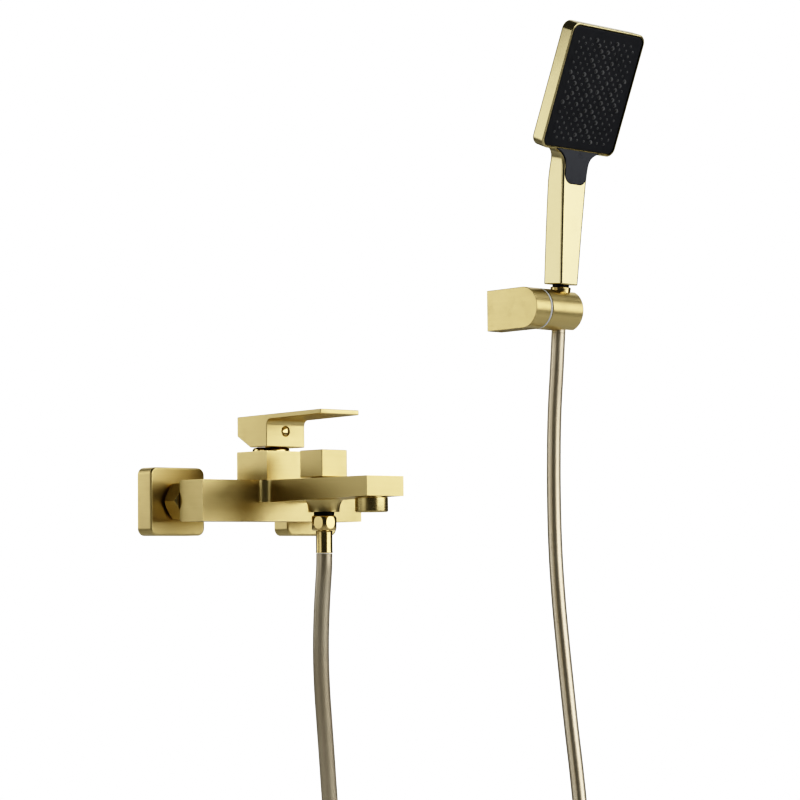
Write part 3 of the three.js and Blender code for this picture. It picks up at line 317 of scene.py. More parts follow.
def belt_lines_group():
    inputs = [("Vector", "NodeSocketVector", (0, 0, 0)), ("Normal", "NodeSocketVector", (0, 0, 1))]
    tree, given, put = node_group("belt lines", inputs, ["Lines", "Bands"])
    squared = add(tree, "ShaderNodeVectorMath", {0: given["Normal"], 1: given["Normal"]}, operation="MULTIPLY")
    share = add(tree, "ShaderNodeSeparateXYZ", {0: squared.outputs[0]}).outputs
    stretches = [("X", (1, ALONG, 1)), ("Y", (ALONG, 1, 1)), ("Z", (1, ALONG, 1))]
    for label, scale in (("Lines", FINE), ("Bands", COARSE)):
        total = 0.0
        for axis, stretch in stretches:
            lines = noise(tree, stretched(tree, given["Vector"], stretch), scale, 2.0, 0.6)
            total = sums(tree, "ADD", total, sums(tree, "MULTIPLY", lines, share[axis]))
        tree.links.new(total, put[label])
    return tree


# %% tone, handling marks, painted edge highlight and moulded grain
def tone_group():
    tree, given, put = node_group("tone and marks", [("Vector", "NodeSocketVector", (0, 0, 0)),
                                                     ("Scale", "NodeSocketFloat", 9.0)], ["Tone", "Marks"])
    tone = noise(tree, given["Vector"], given["Scale"], 3.0, 0.5)
    tree.links.new(ranged(tree, tone, 0.3, 0.7), put["Tone"])
    swirl = noise(tree, given["Vector"], sums(tree, "MULTIPLY", given["Scale"], 5.0), 4.0, 0.62)
    tree.links.new(ranged(tree, swirl, 0.5, 0.72), put["Marks"])
    return tree


# A painted highlight: the mask below lightens the colour of every edge in the gold finishes, and it also
# lowers their roughness.
def edge_highlight_and_polish_group():
    """An edge is where the normal of a rounded copy of the surface leaves the true normal."""
    tree, given, put = node_group("painted edge highlight and polish", [("Reach", "NodeSocketFloat", 0.0009)], ["Edge"])
    rounded_normal = add(tree, "ShaderNodeBevel", {"Radius": given["Reach"]}, samples=4).outputs["Normal"]
    flat_normal = add(tree, "ShaderNodeNewGeometry").outputs["Normal"]
    match = add(tree, "ShaderNodeVectorMath", {0: rounded_normal, 1: flat_normal}, operation="DOT_PRODUCT")
    tree.links.new(ranged(tree, match.outputs["Value"], 0.999, 0.93), put["Edge"])
    return tree


def grain_group():
    tree, given, put = node_group("moulded grain", [("Vector", "NodeSocketVector", (0, 0, 0)),
                                                    ("Scale", "NodeSocketFloat", 2200.0)], ["Grain", "Cloud"])
    tree.links.new(noise(tree, given["Vector"], given["Scale"], 3.0, 0.6), put["Grain"])
    cloud_scale = sums(tree, "MULTIPLY", given["Scale"], 0.02)
    tree.links.new(noise(tree, given["Vector"], cloud_scale, 2.0), put["Cloud"])
    return tree


BELT_LINES, TONE, EDGES, GRAIN = belt_lines_group(), tone_group(), edge_highlight_and_polish_group(), grain_group()
print("shared effects:", [tree.name for tree in (BELT_LINES, TONE, EDGES, GRAIN)])


# %% the start that all finishes share
def new_material(name, roughness, metallic, color=(0.8, 0.8, 0.8), **sockets):
    material = bpy.data.materials.new(name)
    material.use_nodes = True
    tree = material.node_tree
    shader = tree.nodes["Principled BSDF"]
    shader.inputs["Base Color"].default_value = (*color, 1)
    shader.inputs["Roughness"].default_value = roughness
    shader.inputs["Metallic"].default_value = metallic
    for label, value in sockets.items():
        shader.inputs[label.replace("_", " ")].default_value = value
    place = tree.nodes.new("ShaderNodeTexCoord").outputs
    return material, tree, shader, place


def use_group(tree, group, **inputs):
    return add(tree, "ShaderNodeGroup", inputs, node_tree=group).outputs


MIX_A, MIX_B, MIX_RESULT = 6, 7, 2  # the colour sockets of a Mix node, which share names with others


def blended(tree, amount, dark, light):
    mix = add(tree, "ShaderNodeMix", {"Factor": amount}, data_type="RGBA")
    for socket, value in ((mix.inputs[MIX_A], dark), (mix.inputs[MIX_B], light)):
        if isinstance(value, bpy.types.NodeSocket):
            tree.links.new(value, socket)
        else:
            socket.default_value = (*value, 1)
    return mix.outputs[MIX_RESULT]


def bumped(tree, shader, height, strength, distance):
    bump = add(tree, "ShaderNodeBump", {"Height": height, "Strength": strength, "Distance": distance})
    tree.links.new(bump.outputs["Normal"], shader.inputs["Normal"])


# %% gold finishes
ROUGH_SWING = 0.18  # how far the lines move the roughness
# Painted highlight on the edges: the edge colour is lifted by this tone over this share of the mask, and the
# polish lowers their roughness.
EDGE_HIGHLIGHT_TONE, EDGE_HIGHLIGHT_SHARE, RUBBED_POLISH = 1.22, 0.5, 0.08
LINE_STRENGTH, LINE_DEPTH = 0.35, 0.00004


def gold(name, light, dark, roughness, lines=1.0, turned_about=None, edge=1.0, marks=0.05, **sockets):
    """Lines run lengthwise on each face, or round an axis on a piece that was turned on a lathe."""
    material, tree, shader, place = new_material(name, roughness, 1.0, light, **sockets)
    if turned_about is None:
        belt = use_group(tree, BELT_LINES, Vector=place["Object"], Normal=place["Normal"])
        fine, bands = belt["Lines"], belt["Bands"]
    else:
        round_axis = [0.03, 0.03, 0.03]
        round_axis["XYZ".index(turned_about)] = 1.0
        fine = noise(tree, stretched(tree, place["Object"], round_axis), 3000, 2.0, 0.6)
        bands = noise(tree, stretched(tree, place["Object"], round_axis), COARSE, 2.0, 0.6)
    slow = use_group(tree, TONE, Vector=place["Object"])
    edges = use_group(tree, EDGES)["Edge"]
    drift, banding = sums(tree, "MULTIPLY", slow["Tone"], 0.5), sums(tree, "MULTIPLY", bands, 0.5 * lines)
    body = blended(tree, sums(tree, "ADD", drift, banding), dark, light)
    # Painted highlight: the edges are painted a lighter gold than the faces.
    edge_highlight_colour = tuple(min(1, channel * EDGE_HIGHLIGHT_TONE) for channel in light)
    edge_highlighted = blended(tree, sums(tree, "MULTIPLY", edges, EDGE_HIGHLIGHT_SHARE * edge), body, edge_highlight_colour)
    tree.links.new(edge_highlighted, shader.inputs["Base Color"])
    scratches = sums(tree, "MULTIPLY", fine, ROUGH_SWING * lines)
    rough = sums(tree, "ADD", roughness - ROUGH_SWING / 2 * lines, scratches)
    rough = sums(tree, "ADD", rough, sums(tree, "MULTIPLY", slow["Marks"], marks))
    rough = sums(tree, "SUBTRACT", rough, sums(tree, "MULTIPLY", edges, RUBBED_POLISH * edge))
    tree.links.new(rough, shader.inputs["Roughness"])
    bumped(tree, shader, fine, LINE_STRENGTH * lines, LINE_DEPTH)
    return material


BRUSHED_LIGHT, BRUSHED_DARK = (0.80, 0.665, 0.36), (0.71, 0.58, 0.30)
POLISHED_LIGHT, POLISHED_DARK = (0.88, 0.72, 0.40), (0.80, 0.63, 0.32)
brushed_gold = gold("brushed gold", BRUSHED_LIGHT, BRUSHED_DARK, 0.33)
turned_gold = gold("brushed gold turned about X", BRUSHED_LIGHT, BRUSHED_DARK, 0.32, turned_about="X")
polished_gold = gold("polished gold", POLISHED_LIGHT, POLISHED_DARK, 0.13, lines=0.25, turned_about="Z",
                     marks=0.08)
plated_gold = gold("satin plated gold", (0.75, 0.665, 0.41), (0.71, 0.62, 0.37), 0.22, lines=0.1, edge=0.3,
                   marks=0.02)
satin_gold = gold("satin gold turned about Z", BRUSHED_LIGHT, BRUSHED_DARK, 0.26, lines=0.7, turned_about="Z")
raw_brass = gold("machined brass", (0.75, 0.55, 0.24), (0.62, 0.43, 0.17), 0.3, turned_about="Z", marks=0.1)


# %% steel, plastics, rubber and ceramic
PLASTIC_DEPTH, STEEL_DEPTH = 0.00005, 0.00003


def machined_steel():
    material, tree, shader, place = new_material("machined steel", 0.3, 1.0, (0.6, 0.6, 0.61))
    belt = use_group(tree, BELT_LINES, Vector=place["Object"], Normal=place["Normal"])
    slow = use_group(tree, TONE, Vector=place["Object"], Scale=30.0)
    metal = blended(tree, slow["Tone"], (0.5, 0.5, 0.52), (0.66, 0.66, 0.67))
    tree.links.new(metal, shader.inputs["Base Color"])
    tree.links.new(ranged(tree, belt["Lines"], 0.2, 0.8, 0.24, 0.42), shader.inputs["Roughness"])
    bumped(tree, shader, belt["Lines"], 0.3, STEEL_DEPTH)
    return material


def moulded(name, dark, light, rough_low, rough_high, grain=2200.0, strength=0.25, **sockets):
    material, tree, shader, place = new_material(name, rough_low, 0.0, light, **sockets)
    skin = use_group(tree, GRAIN, Vector=place["Object"], Scale=grain)
    slow = use_group(tree, TONE, Vector=place["Object"], Scale=25.0)
    cloud, drift = sums(tree, "MULTIPLY", skin["Cloud"], 0.5), sums(tree, "MULTIPLY", slow["Tone"], 0.5)
    tone = sums(tree, "ADD", cloud, drift)
    tree.links.new(blended(tree, tone, dark, light), shader.inputs["Base Color"])
    tree.links.new(ranged(tree, slow["Marks"], 0.0, 1.0, rough_low, rough_high), shader.inputs["Roughness"])
    bumped(tree, shader, skin["Grain"], strength, PLASTIC_DEPTH)
    return material


steel = machined_steel()
face_black = moulded("spray face black", (0.036, 0.037, 0.041), (0.052, 0.053, 0.058), 0.42, 0.52)
button_black = moulded("button black", (0.018, 0.021, 0.03), (0.03, 0.034, 0.046), 0.22, 0.3, strength=0.1)
black_plastic = moulded("black plastic", (0.012, 0.012, 0.013), (0.025, 0.024, 0.024), 0.4, 0.55)
grey_plastic = moulded("grey plastic", (0.2, 0.2, 0.21), (0.27, 0.27, 0.28), 0.45, 0.6)
white_plastic = moulded("white plastic", (0.84, 0.84, 0.83), (0.9, 0.9, 0.89), 0.35, 0.5,
                        Subsurface_Weight=0.05)
silicone = moulded("nozzle silicone", (0.15, 0.15, 0.15), (0.22, 0.22, 0.22), 0.35, 0.5, grain=3000.0)
rubber = moulded("black rubber", (0.015, 0.015, 0.015), (0.035, 0.034, 0.033), 0.65, 0.85, strength=0.5)
ceramic = moulded("valve ceramic", (0.72, 0.7, 0.66), (0.84, 0.83, 0.79), 0.18, 0.28, grain=900.0,
                  strength=0.1)
print("finishes:", [material.name for material in bpy.data.materials])

# %% [markdown]
# ## The hose
# A shower hose of this kind is a smooth plastic tube, tinted with metallic flake and wound inside with a
# fine reinforcing thread. It is springy, so it leaves its ferrule straight, hangs in one long loop and
# climbs back to the holder. A curve with a round bevel would do, but this one also has to bend where the
# holder tilts, so it is made a mesh tube along the same smooth line. Its skin reads the tube's own UV map,
# so that the bands of the wound thread follow the hose.

# %% route of the hose, in millimetres
HOSE_RADIUS = 6.7
HOSE_START = -45.08
ROUTE = [
    (0, -119, HOSE_START), (0, -118.6, HOSE_START - 12), (0.2, -116.6, -74), (0.9, -113.6, -100),
    (2.2, -111.2, -128), (4.6, -109.4, -156), (7.6, -108.4, -184), (11, -107.2, -212), (14.6, -105.8, -242),
    (18.8, -104.6, -280), (23.5, -103.6, -322), (29.5, -103, -366), (38, -103, -415), (50, -103.4, -458),
    (68, -104.4, -500), (94, -106.5, -536), (128, -109.5, -561), (165, -112.5, -570), (201, -116, -563),
    (233, -119, -540), (259, -121.5, -506), (279, -123, -464), (294, -122.5, -419), (306.5, -119, -374),
    (318, -111.5, -330), (327.5, -101, -290), (335.5, -89, -250), (342, -77.5, -212), (348, -66.5, -170),
    (353, -56.7, -128), (357.5, -48, -85), (360.8, -42, -42), (363.4, -38.6, 2), (365.2, -37.4, 46),
    (366, -38.6, 90), (366.2, -42, 130),
]
HOSE_END = SHOWER @ Vector((0, 0, -21.6))  # inside the holder's socket, on the handle's line


def smooth_line(points, steps=8):
    """A curve through the points: a Bezier spline with automatic handles, sampled at even steps."""
    curve = bpy.data.curves.new("line", "CURVE")
    curve.dimensions, curve.resolution_u = "3D", steps
    spline = curve.splines.new("BEZIER")
    spline.bezier_points.add(len(points) - 1)
    for knot, point in zip(spline.bezier_points, points):
        knot.co = point
        knot.handle_left_type = knot.handle_right_type = "AUTO"
    thing = bpy.data.objects.new("line", curve)
    bpy.context.scene.collection.objects.link(thing)
    bpy.context.view_layer.update()
    mesh = thing.to_mesh()
    line = [vertex.co.copy() for vertex in mesh.vertices]
    thing.to_mesh_clear()
    bpy.data.objects.remove(thing)
    return line


def tube(line, radius, around=28):
    """A ring is extruded from point to point. Each turn is the smallest that faces it along the line, so the
    tube never twists."""
    bm = bmesh.new()
    uv = bm.loops.layers.uv.new("along")
    heading = (line[1] - line[0]).normalized()
    frame_turn = heading.to_track_quat("Z", "Y")
    start = bmesh.ops.create_circle(bm, cap_ends=True, radius=radius, segments=around,
                                    matrix=Matrix.Translation(line[0]) @ frame_turn.to_matrix().to_4x4())
    ring = list({edge for vertex in start["verts"] for edge in vertex.link_edges})
    travelled = 0.0
    for here, there, after in zip(line, line[1:], line[2:] + [line[-1] * 2 - line[-2]]):
        next_heading = (after - here).normalized()
        pulled_ring = bmesh.ops.extrude_edge_only(bm, edges=ring)["geom"]
        corners = [g for g in pulled_ring if isinstance(g, bmesh.types.BMVert)]
        turn = heading.rotation_difference(next_heading).to_matrix().to_4x4()
        bmesh.ops.transform(bm, verts=corners, matrix=at(*there) @ turn @ at(*-here))
        ring = [g for g in pulled_ring if isinstance(g, bmesh.types.BMEdge)]
        heading = next_heading
        for face in {face for corner in corners for face in corner.link_faces}:
            for loop in face.loops:
                along = travelled + (there - here).length if loop.vert in corners else travelled
                loop[uv].uv = (0.0, along)
        travelled += (there - here).length
    bmesh.ops.contextual_create(bm, geom=ring)
    return bm, travelled


hose_line = smooth_line([Vector(point) for point in ROUTE] + [HOSE_END])
hose_mesh, hose_length = tube(hose_line, HOSE_RADIUS)
print("hose", round(hose_length), "mm along", len(hose_line), "points")

# %% hose skin and piece
def hose_skin():
    material, tree, shader, place = new_material("hose skin", 0.32, 0.85, (0.8, 0.7, 0.53), Coat_Weight=0.3,
                                                 Coat_Roughness=0.22)
    flake = use_group(tree, GRAIN, Vector=place["Object"], Scale=2600.0)
    slow = use_group(tree, TONE, Vector=place["Object"], Scale=14.0)
    wound = add(tree, "ShaderNodeTexWave", {"Vector": place["UV"], "Scale": 0.16, "Distortion": 0.0},
                wave_type="BANDS", bands_direction="Y")
    drift, glitter = sums(tree, "MULTIPLY", slow["Tone"], 0.6), sums(tree, "MULTIPLY", flake["Grain"], 0.4)
    tone = sums(tree, "ADD", drift, glitter)
    tree.links.new(blended(tree, tone, (0.74, 0.64, 0.47), (0.86, 0.77, 0.6)), shader.inputs["Base Color"])
    tree.links.new(ranged(tree, flake["Grain"], 0.25, 0.75, 0.28, 0.42), shader.inputs["Roughness"])
    height = sums(tree, "ADD", sums(tree, "MULTIPLY", wound.outputs["Fac"], 0.5), flake["Grain"])
    bumped(tree, shader, height, 0.05, STEEL_DEPTH)
    return material


hose_gold = hose_skin()
hose = in_metres(hose_mesh, "hose", hose_gold, fold=40)
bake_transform(hose)
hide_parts("shower_hose")

# %% [markdown]
# ## Wall flanges and union nuts
# Each inlet has a square flange that hides the hole in the tiles, and a hexagon nut that pulls the mixer on
# to its threaded union. The flange is a rounded outline pulled 18 mm out of the wall, with a generous bevel
# round its front. The nut's curved corners come from where a hexagon meets a chamfered cylinder, so it is
# made in that way.

# %% flanges
FLANGE_SIDE, FLANGE_DEPTH, FLANGE_CORNER, FLANGE_WALL = 57.4, 18, 6.5, 2.5
NUT_HALF_FLATS, NUT_LENGTH, NUT_CHAMFER = 15, 16.4, 1.5
BESIDE_BAR = BAR_BACK + 0.3  # the nut's face, a hair behind the bar


def flange(x):
    shell = pulled(rounded(FLANGE_SIDE, FLANGE_SIDE, FLANGE_CORNER), 0, FLANGE_DEPTH)
    soften(shell, 1.7, 5, where=lambda middle: middle.z > FLANGE_DEPTH - NEAR)
    inside = FLANGE_SIDE - 2 * FLANGE_WALL
    hollow = pulled(rounded(inside, inside, FLANGE_CORNER - FLANGE_WALL), -1, FLANGE_DEPTH - FLANGE_WALL)
    hole = rod(11.4, -1, FLANGE_DEPTH + 1)
    return placed(cut(shell, hollow, hole), INTO_ROOM, at(x, 0, 0))


def union_nut(x):
    shank = pulled(hexagon(NUT_HALF_FLATS), 0, NUT_LENGTH)
    crown = turned([(0, 0), (15.2, 0), (17.5, NUT_CHAMFER), (17.5, NUT_LENGTH - NUT_CHAMFER),
                    (15.2, NUT_LENGTH), (0, NUT_LENGTH)], 96)
    nut = soften(combined(shank, [crown], "INTERSECT"), 0.3, 2)
    thread = turned([(0, -1), (12.95, -1), (12.95, 14.9), (9.35, 14.9), (9.35, 18), (0, 18)], 48)
    return placed(cut(nut, thread), INTO_WALL, at(x, BESIDE_BAR, 0))


for side, x in (("left", -INLET_X), ("right", INLET_X)):
    finished(flange(x), f"flange_{side}", brushed_gold, "root", [f"escutcheon_{side}"])
    finished(union_nut(x), f"hex_nut_{side}", brushed_gold, "root", [f"union_nut_{side}"])

# %% [markdown]
# ## Mixer body
# The body is one brass casting: a bar along the wall, a flat spout that grows out of it through two upright
# hollows, a square housing for the cartridge, and a flared boss for the hose under the spout. Seen from
# above, bar and spout are a single outline, so that outline is pulled first and the other volumes are
# joined to it. All the sharp edges are bevelled together before the seats of the moving parts are cut.

# %% outline of the bar and the spout
SPOUT_UNDER, SPOUT_RISE = -1.3, 2.3  # the spout's underside climbs towards its tip
INNER_CORNER = 9  # radius of the hollow where the spout leaves the bar


def under_spout(y):
    return SPOUT_UNDER + SPOUT_RISE * (BAR_FRONT - y) / (BAR_FRONT - SPOUT_TIP)


def body_plan():
    corner = arc(-SPOUT_HALF - INNER_CORNER, BAR_FRONT - INNER_CORNER, INNER_CORNER, 90, 0, 10)
    left = [(-BAR_HALF, BAR_BACK), (-BAR_HALF, BAR_FRONT)] + corner + [(-SPOUT_HALF, SPOUT_TIP)]
    return left + [(-x, y) for x, y in reversed(left)]


# %% casting
BOSS_FOOT = -10.58
HOUSING_TOP = 42.3
FLARE_RADIUS, FLARE_DEPTH = 17.6, 4.6


def body_casting():
    slab = pulled(body_plan(), SPOUT_UNDER, BAR_TOP)
    for vertex in slab.verts:
        if vertex.co.z < 0:
            vertex.co.z = under_spout(vertex.co.y)
    bar = block(-BAR_HALF, BAR_HALF, BAR_FRONT, BAR_BACK, -BAR_TOP, 0)
    housing = block(-HUB_HALF, HUB_HALF, -71, -31, 14.3, HOUSING_TOP)
    foot, top = BOSS_FOOT, under_spout(OUTLET_Y) + 0.4
    angles = [math.radians(a) for a in range(0, 91, 10)]
    flare = [(FLARE_RADIUS - FLARE_DEPTH * math.cos(a), foot + (top - foot) * math.sin(a)) for a in angles]
    profile = [(0, foot), (12.2, foot), (12.8, foot + 0.3), *flare, (FLARE_RADIUS, top + 3), (0, top + 3)]
    boss = placed(turned(profile, 72), at(0, OUTLET_Y, 0))
    body = soften(joined(slab, bar, housing), 0.8, 3)
    stubs = [placed(rod(12.6, -3, 9), INTO_WALL, at(x, BAR_BACK, 0)) for x in (-INLET_X, INLET_X)]
    return joined(body, boss, *stubs)


# %% seats of the moving parts, and the cast body
def body_seats():
    pocket = placed(rod(17.5, 2, 44, 72), at(0, CARTRIDGE_Y, 0))
    bonnet = placed(rod(9.3, 8, 19, 40), at(0, OUTLET_Y, 0))
    nipple = placed(rod(8.3, -12, -4.6), at(0, OUTLET_Y, 0))
    aerator = placed(rod(11.1, -3, 6.7), at(0, AERATOR_Y, 0))
    inlets = [placed(rod(6.5, -8, 12, 32), INTO_WALL, at(x, BAR_BACK, 0)) for x in (-INLET_X, INLET_X)]
    return [pocket, bonnet, nipple, aerator, *inlets]


mixer = cut(body_casting(), *body_seats())
finished(mixer, "mixer_casting", brushed_gold, "root", ["mixer_body"])

# %% [markdown]
# ## Lever
# The lever is a square hub with a thin blade. Its side view tells the whole shape: a flat top that rises
# slightly to the tip, a soft inner corner where the blade leaves the hub, and a sloping cut at the back
# that lets the hub dip as the blade is lifted. That side view is pulled across the width.

# %% lever
HUB_FRONT, HUB_BACK, HUB_FOOT, HUB_TOP = -70.5, -31.5, 45.7, 72.3
BLADE_TIP, BLADE_TOP, BLADE_UNDER = -140.2, 74.1, 70.0
SCREW_Z = HUB_FOOT + 13.4
CAP_RADIUS = 3.9
CAP_HOLE = CAP_RADIUS + 0.5


def lever_blade():
    under_blade = arc(HUB_FRONT - 5, 63.75, 5, 90, 0, 8)
    side = [(HUB_BACK, HUB_TOP), (BLADE_TIP, BLADE_TOP), (BLADE_TIP, BLADE_UNDER), *under_blade,
            (HUB_FRONT, HUB_FOOT), (-48.8, HUB_FOOT), (HUB_BACK, 55.8)]
    handle = soften(placed(pulled(side, -HUB_HALF, HUB_HALF), SIDEWAYS), 0.7, 3)
    lug = placed(rod(7.4, 53.5, 64, 40), at(0, CARTRIDGE_Y, 0))
    cavity = cut(block(-18.2, 18.2, HUB_FRONT + 3, HUB_BACK - 3, 40, 62.7), lug)
    socket = block(-3.8, 3.8, CARTRIDGE_Y - 3.8, CARTRIDGE_Y + 3.8, 45, 61)
    screw_profile = [(0, 0), (2.7, 0), (2.7, 17.2), (CAP_HOLE, 17.2), (CAP_HOLE, 19.1), (CAP_HOLE + 0.6, 19.8),
                     (0, 19.8)]
    screw_way = placed(turned(screw_profile, 40), INTO_ROOM, at(0, CARTRIDGE_Y, SCREW_Z))
    return cut(handle, cavity, socket, screw_way)


finished(lever_blade(), "lever_blade", brushed_gold, "lever", ["lever_handle"])

# %% screw cap, and the ring below the lever
cap_profile = [(0, -2), (CAP_RADIUS, -2), (CAP_RADIUS, -0.7), (CAP_RADIUS - 0.35, -0.2),
               (CAP_RADIUS - 1, 0.05), (CAP_RADIUS - 2.4, 0.2), (0, 0.28)]
screw_cap = placed(turned(cap_profile, 40), INTO_ROOM, at(0, HUB_FRONT, SCREW_Z))
finished(screw_cap, "screw_cap", polished_gold, "lever", ["lever_screw_cap"])
ring_profile = [(13.6, 35.8), (17.2, 35.8), (17.2, 41.3), (16.1, 41.8), (16, 43.1), (15.8, 44.2),
                (15.2, 45.2), (14.4, 45.8), (13.6, 45.9)]
dome_ring = placed(turned(ring_profile, 80), at(0, CARTRIDGE_Y, 0))
finished(dome_ring, "dome_ring", polished_gold, "root", ["retaining_ring"])

# %% [markdown]
# ## Diverter knob
# A quarter turn of this square knob sends the water to the hose. It is a bevelled block with a round recess
# below, which drops over the brass bonnet and leaves a millimetre of shadow above the spout.

# %% knob
KNOB_HALF, KNOB_TOP = 14, 41.0
knob = soften(block(-KNOB_HALF, KNOB_HALF, -KNOB_HALF, KNOB_HALF, BAR_TOP + 1, KNOB_TOP), 0.7, 3)
recess = turned([(0, 17), (10.6, 17), (10.6, 26.3), (4.3, 26.3), (4.3, 35.6), (0, 35.6)], 48)
grub_way = placed(rod(1.9, 0, 16, 24), INTO_WALL, at(0, 0, 30.3))
knob = placed(cut(knob, recess, grub_way), at(0, OUTLET_Y, 0))
finished(knob, "square_knob", brushed_gold, "diverter", ["diverter_knob"])

# %% [markdown]
# ## Aerator
# The aerator screws into the spout's underside. Its collar has a finer, satin finish, which sets it off from
# the brushed spout, and its mesh sits a little up inside the rim. Collar and mesh carrier are turned. The
# mesh is a grid of thin bars.

# %% aerator
AERATOR_UNDER = under_spout(AERATOR_Y)
GRID_STEP, GRID_RADIUS, BAR_WIDE = 2.4, 8.6, 0.7


def aerator_mesh():
    disc = rod(9, -9.2, 2)
    bars = []
    for step in range(-3, 4):
        middle = GRID_STEP * step
        reach = math.sqrt(GRID_RADIUS ** 2 - middle ** 2)
        near, far = middle - BAR_WIDE / 2, middle + BAR_WIDE / 2
        bars.append(block(near, far, -reach, reach, -10.1, -9))
        bars.append(block(-reach, reach, near, far, -10.1, -9))
    return joined(disc, *bars)


collar_profile = [(9.4, -12.2), (9.8, -12.6), (12.5, -12.6), (13.1, -12.3), (13.5, -11.6), (13.5, -1.2),
                  (13.2, -0.6), (10.8, -0.6), (10.8, 4.1), (9.4, 4.1)]
on_tip = at(0, AERATOR_Y, AERATOR_UNDER)
collar = placed(turned(collar_profile, 80), on_tip)
finished(collar, "aerator_collar", satin_gold, "root", ["aerator_housing"])
grid = placed(aerator_mesh(), on_tip)
finished(grid, "aerator_grid", grey_plastic, "root", ["aerator_insert"])

# %% [markdown]
# ## Hose fittings
# A black threaded nipple sits in the boss. The hose nut has six flats milled on a barrel, so each flat is
# an oval, and between them the round barrel shows. Cutting a barrel with a hexagon gives just that. A
# polished ferrule then clamps the hose, and a tapered nut at the other end drops into the holder.

# %% hose nut
HOSE_NUT_LENGTH, HOSE_NUT_TURN = 12.3, 51  # turned in degrees, as it was left when it was tightened
NUT_TOP = BOSS_FOOT - 3
NUT_FOOT = NUT_TOP - HOSE_NUT_LENGTH


def hose_nut():
    barrel = turned([(0, 0), (8.6, 0), (9.4, 0.3), (10.1, 1.0), (10.6, 2.4), (10.9, 4.2), (11, 6.2),
                     (10.95, 8.2), (10.75, 10), (10.4, 11.3), (9.9, 12), (9.4, HOSE_NUT_LENGTH),
                     (0, HOSE_NUT_LENGTH)], 96)
    flats = pulled(hexagon(10.2, HOSE_NUT_TURN), -1, 14)
    nut = soften(combined(barrel, [flats], "INTERSECT"), 0.15, 2, sharper=12)
    bore = turned([(0, -1), (5.8, -1), (5.8, 2.2), (9.5, 2.2), (9.5, 13), (0, 13)], 48)
    return placed(cut(nut, bore), at(0, OUTLET_Y, NUT_FOOT))


# %% profiles of the nipple, the ferrule and the tapered nut
NIPPLE_FOOT, NIPPLE_TOP = NUT_TOP - 7.5, -5.1
nipple_profile = [(5.6, NIPPLE_FOOT), (8.8, NIPPLE_FOOT), (9.2, NUT_TOP - 6.5), (9.2, NUT_TOP - 0.5),
                  (8.6, NUT_TOP - 0.2), (8.4, NUT_TOP + 0.9), (8.6, NUT_TOP + 1.6), (8.6, BOSS_FOOT - 0.3),
                  (8, BOSS_FOOT - 0.3), (8, NIPPLE_TOP), (5.6, NIPPLE_TOP)]
ferrule_steps = [(0, -15.9), (3.6, -15.9), (3.6, -18.9), (6.6, -18.9), (7, -18.4), (7, -17.4), (6.85, -17.1),
                 (6.85, -1.6), (7, -1.3), (7, -0.7), (6.6, -0.3), (5.2, -0.3), (5.2, 2.4), (0, 2.4)]
ferrule_profile = [(radius, NUT_FOOT + step) for radius, step in ferrule_steps]
cone_profile = [(6, -8), (7.7, -8), (8.2, -7.5), (9.75, 20.2), (9.9, 20.9), (9.9, 21.7), (9.5, 22.3),
                (7.5, 22.3), (7.5, 8), (6, 8)]

# %% the four fittings
on_outlet = at(0, OUTLET_Y, 0)
nipple = placed(turned(nipple_profile, 56), on_outlet)
finished(nipple, "black_nipple", black_plastic, "root", ["outlet_nipple"])
lower_nut = finished(hose_nut(), "hose_nut", polished_gold, "root", ["hose_nut_lower"])
ferrule = placed(turned(ferrule_profile, 64), on_outlet)
ferrule = finished(ferrule, "hose_ferrule", polished_gold, "root", ["hose_ferrule_lower"])
cone_nut = placed(turned(cone_profile, 64), SHOWER)
cone_nut = finished(cone_nut, "tapered_nut", polished_gold, "hose_end", ["cone_nut_upper"])

# %% [markdown]
# ## Wall holder
# A block with a round nose is screwed to the wall. A white ring separates it from the barrel that holds the
# hand shower, and the barrel turns on a bolt, so that the shower can be tilted. Brush lines run round the
# barrel, because it is finished on a lathe. Its tapered socket and its slot are cut along the line of the
# handle.

# %% block on the wall
OUT_OF_WALL = Matrix(((0, 0, 1, 0), (-1, 0, 0, 0), (0, 1, 0, 0), (0, 0, 0, 1)))
BASE_LEFT, BASE_RIGHT = 314.6, 334.2
HOLDER_RADIUS, HOLDER_WALL = 19.6, 3
on_axis = at(0, HOLDER_Y, HOLDER_Z)


def holder_block():
    outline = [(0, -HOLDER_RADIUS)] + arc(-HOLDER_Y, 0, HOLDER_RADIUS, -90, 90, 48) + [(0, HOLDER_RADIUS)]
    body = placed(pulled(outline, BASE_LEFT, BASE_RIGHT), OUT_OF_WALL, at(0, 0, HOLDER_Z))
    soften(body, 0.6, 3)
    hollow = block(BASE_LEFT + HOLDER_WALL, BASE_RIGHT - HOLDER_WALL, -55, 1, HOLDER_Z - 15.1, HOLDER_Z + 15.1)
    bolt_way = placed(rod(3.3, 325, 336, 32), ALONG_X, on_axis)
    grub_way = placed(rod(2.3, -21, -14, 24), at((BASE_LEFT + BASE_RIGHT) / 2, -9, HOLDER_Z))
    return cut(body, hollow, bolt_way, grub_way)


finished(holder_block(), "holder_block", brushed_gold, "root", ["holder_base"])

# %% ring and barrel
RING_LEFT, RING_RIGHT, BARREL_LEFT, BARREL_RIGHT = 334.5, 336.7, 337.0, 379.5


